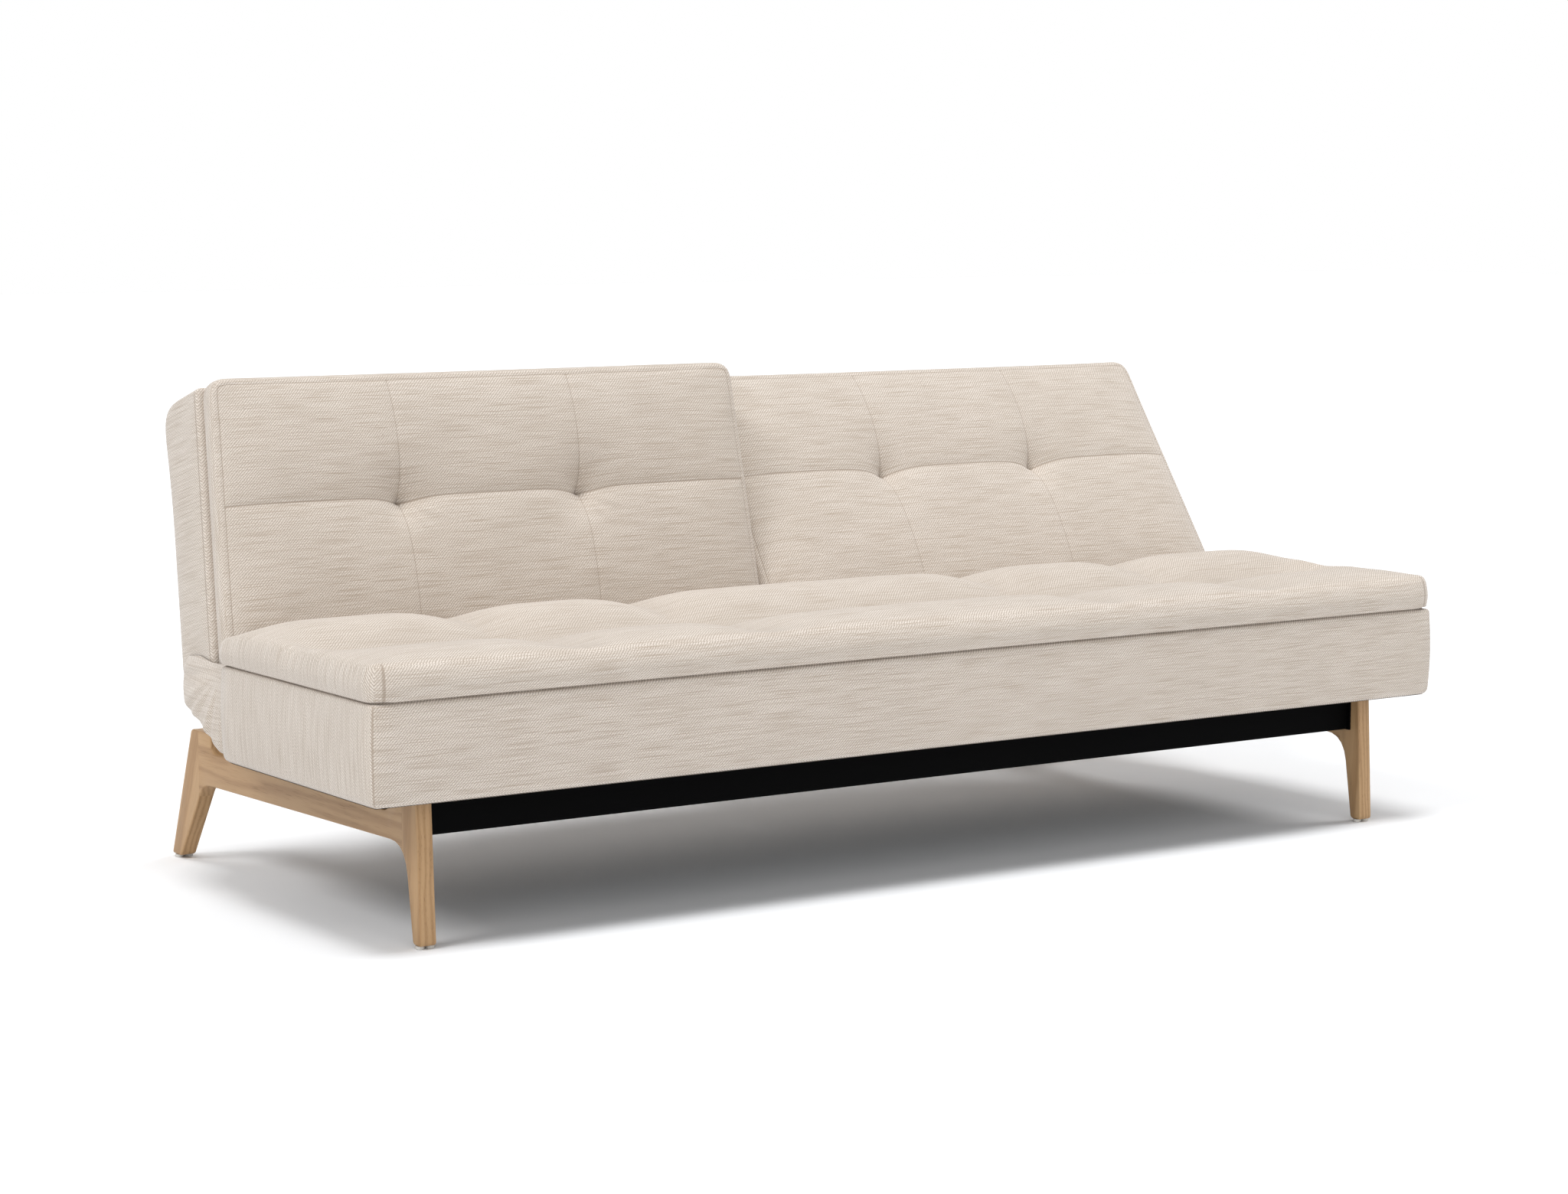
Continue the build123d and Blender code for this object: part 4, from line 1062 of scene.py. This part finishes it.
# %% Oak side frames
OAK_INNER, OAK_OUTER, OAK_ROUND = 925.5 * MM, 952.5 * MM, 6.5 * MM
GLUE_LINE = 0.1 * MM
SHARP_EDGE, SMOOTH_UP_TO = 1.2, math.radians(40)
front_joint, rear_joint = SEAT_FRONT + 98 * MM, SEAT_FRONT + 822 * MM
oak_cuts = {
    "front_leg": [(front_joint - GLUE_LINE, True)],
    "side_rail": [(front_joint + GLUE_LINE, False), (rear_joint - GLUE_LINE, True)],
    "rear_leg": [(rear_joint + GLUE_LINE, False)],
}
oak_corners = [
    (42, 5, 7), (68, 5, 7), (91, 154, 48), (806, 140, 22), (901, 5, 7), (936, 5, 7),
    (850, 228, 7), (773, 228, 7), (773, 196, 22), (140, 196, 20), (140, 226, 6), (53, 226, 6),
]
oak_outline = smooth_outline([(SEAT_FRONT + y * MM, z * MM, r * MM) for y, z, r in oak_corners])


def side_frame(side):
    """The whole frame of one side as a mesh with rounded edges."""
    shape = bmesh.new()
    face = shape.faces.new([shape.verts.new((side * OAK_INNER, y, z)) for y, z in oak_outline])
    made = bmesh.ops.extrude_face_region(shape, geom=[face])["geom"]
    for vert in (v for v in made if isinstance(v, bmesh.types.BMVert)):
        vert.co.x = side * OAK_OUTER
    bmesh.ops.recalc_face_normals(shape, faces=shape.faces)
    sharp = [e for e in shape.edges if len(e.link_faces) == 2 and e.calc_face_angle() > SHARP_EDGE
             and abs(e.verts[0].co.x - e.verts[1].co.x) < SAME]
    bmesh.ops.bevel(shape, geom=sharp, offset=OAK_ROUND, offset_type="OFFSET", segments=4, profile=0.5,
                    affect="EDGES", clamp_overlap=True)
    bmesh.ops.recalc_face_normals(shape, faces=shape.faces)
    return shape


def cut_away(shape, depth, rear):
    """Takes off what lies behind (or before) a depth, and closes the cut."""
    geom = shape.verts[:] + shape.edges[:] + shape.faces[:]
    cut = bmesh.ops.bisect_plane(shape, geom=geom, plane_co=(0, depth, 0), plane_no=(0, 1, 0),
                                 clear_outer=rear, clear_inner=not rear)
    edges = [e for e in cut["geom_cut"] if isinstance(e, bmesh.types.BMEdge)]
    bmesh.ops.holes_fill(shape, edges=edges)


for name, side in SIDE.items():
    for part, cuts in oak_cuts.items():
        shape = side_frame(side)
        for depth, rear in cuts:
            cut_away(shape, depth, rear)
        bmesh.ops.recalc_face_normals(shape, faces=shape.faces)
        mesh = bpy.data.meshes.new(f"{name}_{part}_oak")
        shape.to_mesh(mesh)
        shape.free()
        mesh.polygons.foreach_set("use_smooth", [True] * len(mesh.polygons))
        mesh.set_sharp_from_angle(angle=SMOOTH_UP_TO)
        mesh.materials.append(oak[part])
        hand_over(add(mesh.name, mesh), "base", f"{name}_{part}")
print("oak side frames, three pieces each")

# %% [markdown]
# ## Steel, timber and nylon
# The beams wear a matt black powder coat, which is very slightly pebbled. The hinges are zinc-plated, with a
# mottled grey. The timber inside is plain planed softwood, and the glides are pale nylon. These pieces keep
# their solids and only get a finish.

# %% Finishes of the hard pieces
coat = two_tone("black_powder_coat", lambda place: place.noise(900.0, 1.0),
                ((0.001, 0.001, 0.0011, 1), (0.002, 0.002, 0.0021, 1)), 0.55, 0.12, (0.12, 0.0003),
                Specular_IOR_Level=0.03)
plate = two_tone("zinc_plate", lambda place: place.noise(120.0, 3.0),
                 ((0.40, 0.40, 0.41, 1), (0.58, 0.58, 0.59, 1)), 0.3, 0.2, Metallic=1.0)
timber = two_tone("planed_softwood",
                  lambda place: place.stretch(4.0, 90.0, 90.0).noise(1.0, 3.0).step(0.35, 0.7),
                  ((0.66, 0.52, 0.35, 1), (0.50, 0.36, 0.21, 1)), 0.6, 0.1)
glide = two_tone("pale_nylon", lambda place: place.noise(260.0),
                 ((0.55, 0.53, 0.49, 1), (0.66, 0.64, 0.60, 1)), 0.4, 0.2)
wears = {"beam": coat, "end_plate": coat, "frame_bolts": coat, "seat_bolts": coat, "glides": glide,
         "hinge": plate, "bracket_bolts": plate, "arm_bolts": plate, "frame": timber}
for name, node in nodes.items():
    if not node.hide_render:
        worn = next((wears[key] for key in wears if key in name), None)
        if worn:
            node.data.materials.clear()
            node.data.materials.append(worn)
        else:
            print("a finish comes later:", name)

# %% [markdown]
# ## Webbing
# Elastic straps carry the foam. They repeat at an even pitch, so Geometry Nodes set them out: one strap on
# each point of a line, then made into one mesh. A tree of nodes is written as its named sizes, its nodes, and
# its links, and each tree ends in the same way: made real, and given a finish.

# %% Webbing
STRAP, SEAT_STRAPS, BACK_STRAPS = 60 * MM, 12, 5
ROW_END = ("cast.Instances > real.Geometry", "real.Geometry > dress.Geometry",
           "given.Finish > dress.Material", "dress.Geometry > result.Geometry")


def node_tree(name, sizes, kinds, links, settings=(), values=()):
    """A tree with named sizes: its nodes, their settings and values, and links from output to input."""
    tree = bpy.data.node_groups.new(name, "GeometryNodeTree")
    given, socket = {}, tree.interface.new_socket
    for label, kind in {**sizes, "Size": "Vector", "Finish": "Material"}.items():
        given[label] = socket(label, in_out="INPUT", socket_type=f"NodeSocket{kind}").identifier
    socket("Geometry", in_out="OUTPUT", socket_type="NodeSocketGeometry")
    kinds = {"given": "NodeGroupInput", "result": "NodeGroupOutput", "cast": "GeometryNodeInstanceOnPoints",
             "real": "GeometryNodeRealizeInstances", "dress": "GeometryNodeSetMaterial", **kinds}
    made = {label: tree.nodes.new(kind) for label, kind in kinds.items()}
    for label, key, value in settings:
        setattr(made[label], key, value)
    for label, key, value in values:
        made[label].inputs[key].default_value = value
    for link in (*links, *ROW_END):
        (start, output), (end, into) = (half.split(".") for half in link.split(" > "))
        tree.links.new(made[start].outputs[output], made[end].inputs[into])
    return tree, given


def grow(name, tree, given, values, start=None):
    """Runs a node tree with its named sizes and keeps the result as a plain mesh."""
    made = add(name, start or bpy.data.meshes.new(name))
    maker = made.modifiers.new("maker", "NODES")
    maker.node_group = tree
    for label, value in values.items():
        maker[given[label]] = value
    settle(made, maker)
    return made


webbing = two_tone(
    "elastic_webbing",
    lambda place: (place.axis("X") + place.axis("Y")).wave(0.004) * 0.6 + place.axis("Z").wave(0.004) * 0.4,
    ((0.08, 0.072, 0.064, 1), (0.16, 0.148, 0.135, 1)), 0.85, relief=(0.4, 0.0006))
strap_row, strap_given = node_tree(
    "strap_row", {"Count": "Int", "First": "Vector", "Pitch": "Vector"},
    {"row": "GeometryNodeMeshLine", "strap": "GeometryNodeMeshCube"},
    ("given.Count > row.Count", "given.First > row.Start Location", "given.Pitch > row.Offset",
     "given.Size > strap.Size", "row.Mesh > cast.Points", "strap.Mesh > cast.Instance"),
    values=[("strap", "Vertices X", 6), ("strap", "Vertices Y", 6)])
low, high = (np.array(c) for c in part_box("seat_straps"))
pitch = (high[0] - low[0] - STRAP) / (SEAT_STRAPS - 1)
seat_webbing = grow("seat_webbing", strap_row, strap_given, {
    "Count": SEAT_STRAPS, "First": (low[0] + STRAP / 2, (low[1] + high[1]) / 2, (low[2] + high[2]) / 2),
    "Pitch": (pitch, 0.0, 0.0), "Size": (STRAP, high[1] - low[1], high[2] - low[2]), "Finish": webbing})
hand_over(seat_webbing, "base", "seat_straps")
for name, side in SIDE.items():
    straps = grow(f"{name}_back_webbing", strap_row, strap_given, {
        "Count": BACK_STRAPS, "First": (side * 0.5, -15.4 * MM, 67.5 * MM), "Pitch": (0.0, 0.0, 73 * MM),
        "Size": (0.88, 2 * MM, 48 * MM), "Finish": webbing})
    move(straps, lean_back(spots(straps), name))
    hand_over(straps, f"{name}_back", f"{name}_back_straps")
print("webbing", len(seat_webbing.data.polygons), "faces in the seat")

# %% [markdown]
# ## Dust cloth
# A thin black cloth, stapled to the timber frame, closes the seat below. It is one sheet that sags by a
# fraction of a millimetre between its edges.

# %% Dust cloth


def dust_finish():
    material, flow, shader = finish("black_dust_cloth")
    place = flow.place()
    fibre = place.noise(700.0, 3.0)
    dimple = flow.node("ShaderNodeTexVoronoi", {}, {"Vector": place, "Scale": 420.0}).step(0.1, 0.5)
    feed(shader, Base_Color=fibre.blend((0.018, 0.018, 0.018, 1), (0.06, 0.06, 0.06, 1)), Roughness=0.95,
         Normal=(fibre + dimple).bump(0.3, 0.0004))
    return material


low, high = (np.array(c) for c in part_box("seat_dust_cover"))
ga, gb = np.meshgrid(np.linspace(low[0], high[0], 85), np.linspace(low[1], high[1], 21), indexing="ij")
sag = np.sin(6.0 * ga) * np.cos(13.0 * gb) * 0.25 * MM
points = np.stack([ga, gb, (low[2] + high[2]) / 2 + sag], axis=-1).reshape(-1, 3)
quads = grid_quads(np.arange(ga.size).reshape(ga.shape), False)
dust_cloth = piece("seat_dust_cloth", points, quads, dust_finish())
hand_over(dust_cloth, "base", "seat_dust_cover")
print("dust cloth", len(quads), "faces")

# %% [markdown]
# ## Stitches
# A row of stitches runs beside the border seam of each back and down the front corners of the seat. One
# stitch is a small bead of thread; Geometry Nodes set it along the seam at an even pitch and turn it to the
# seam's direction.

# %% Stitches
STITCH_PITCH, STITCH_SIZE = 5.5 * MM, (3.6 * MM, 0.9 * MM, 0.9 * MM)
thread = two_tone("sewing_thread", lambda place: place.noise(1500.0, 1.0),
                  ((0.50, 0.43, 0.36, 1), (0.64, 0.57, 0.50, 1)), 0.6)
stitch_row, stitch_given = node_tree(
    "stitch_row", {"Seam": "Geometry", "Pitch": "Float"},
    {"curve": "GeometryNodeMeshToCurve", "even": "GeometryNodeResampleCurve",
     "bead": "GeometryNodeMeshIcoSphere", "ahead": "GeometryNodeInputTangent",
     "turn": "FunctionNodeAlignRotationToVector"},
    ("given.Seam > curve.Mesh", "curve.Curve > even.Curve", "given.Pitch > even.Length",
     "even.Curve > cast.Points", "bead.Mesh > cast.Instance", "ahead.Tangent > turn.Vector",
     "turn.Rotation > cast.Rotation", "given.Size > cast.Scale"),
    settings=[("even", "mode", "LENGTH"), ("turn", "axis", "X")],
    values=[("bead", "Radius", 0.5), ("bead", "Subdivisions", 1)])
for body, paths in stitch_paths.items():
    seam_mesh, count, edges = bpy.data.meshes.new(f"{body}_seams"), 0, []
    for path in paths:
        edges += [(count + k, count + k + 1) for k in range(len(path) - 1)]
        count += len(path)
    seam_mesh.from_pydata([tuple(p) for p in np.concatenate(paths)], edges, [])
    stitches = grow(f"{body}_stitches", stitch_row, stitch_given,
                    {"Pitch": STITCH_PITCH, "Size": STITCH_SIZE, "Finish": thread}, seam_mesh)
    hand_over(stitches, body)
    print(stitches.name, len(stitches.data.polygons), "faces")
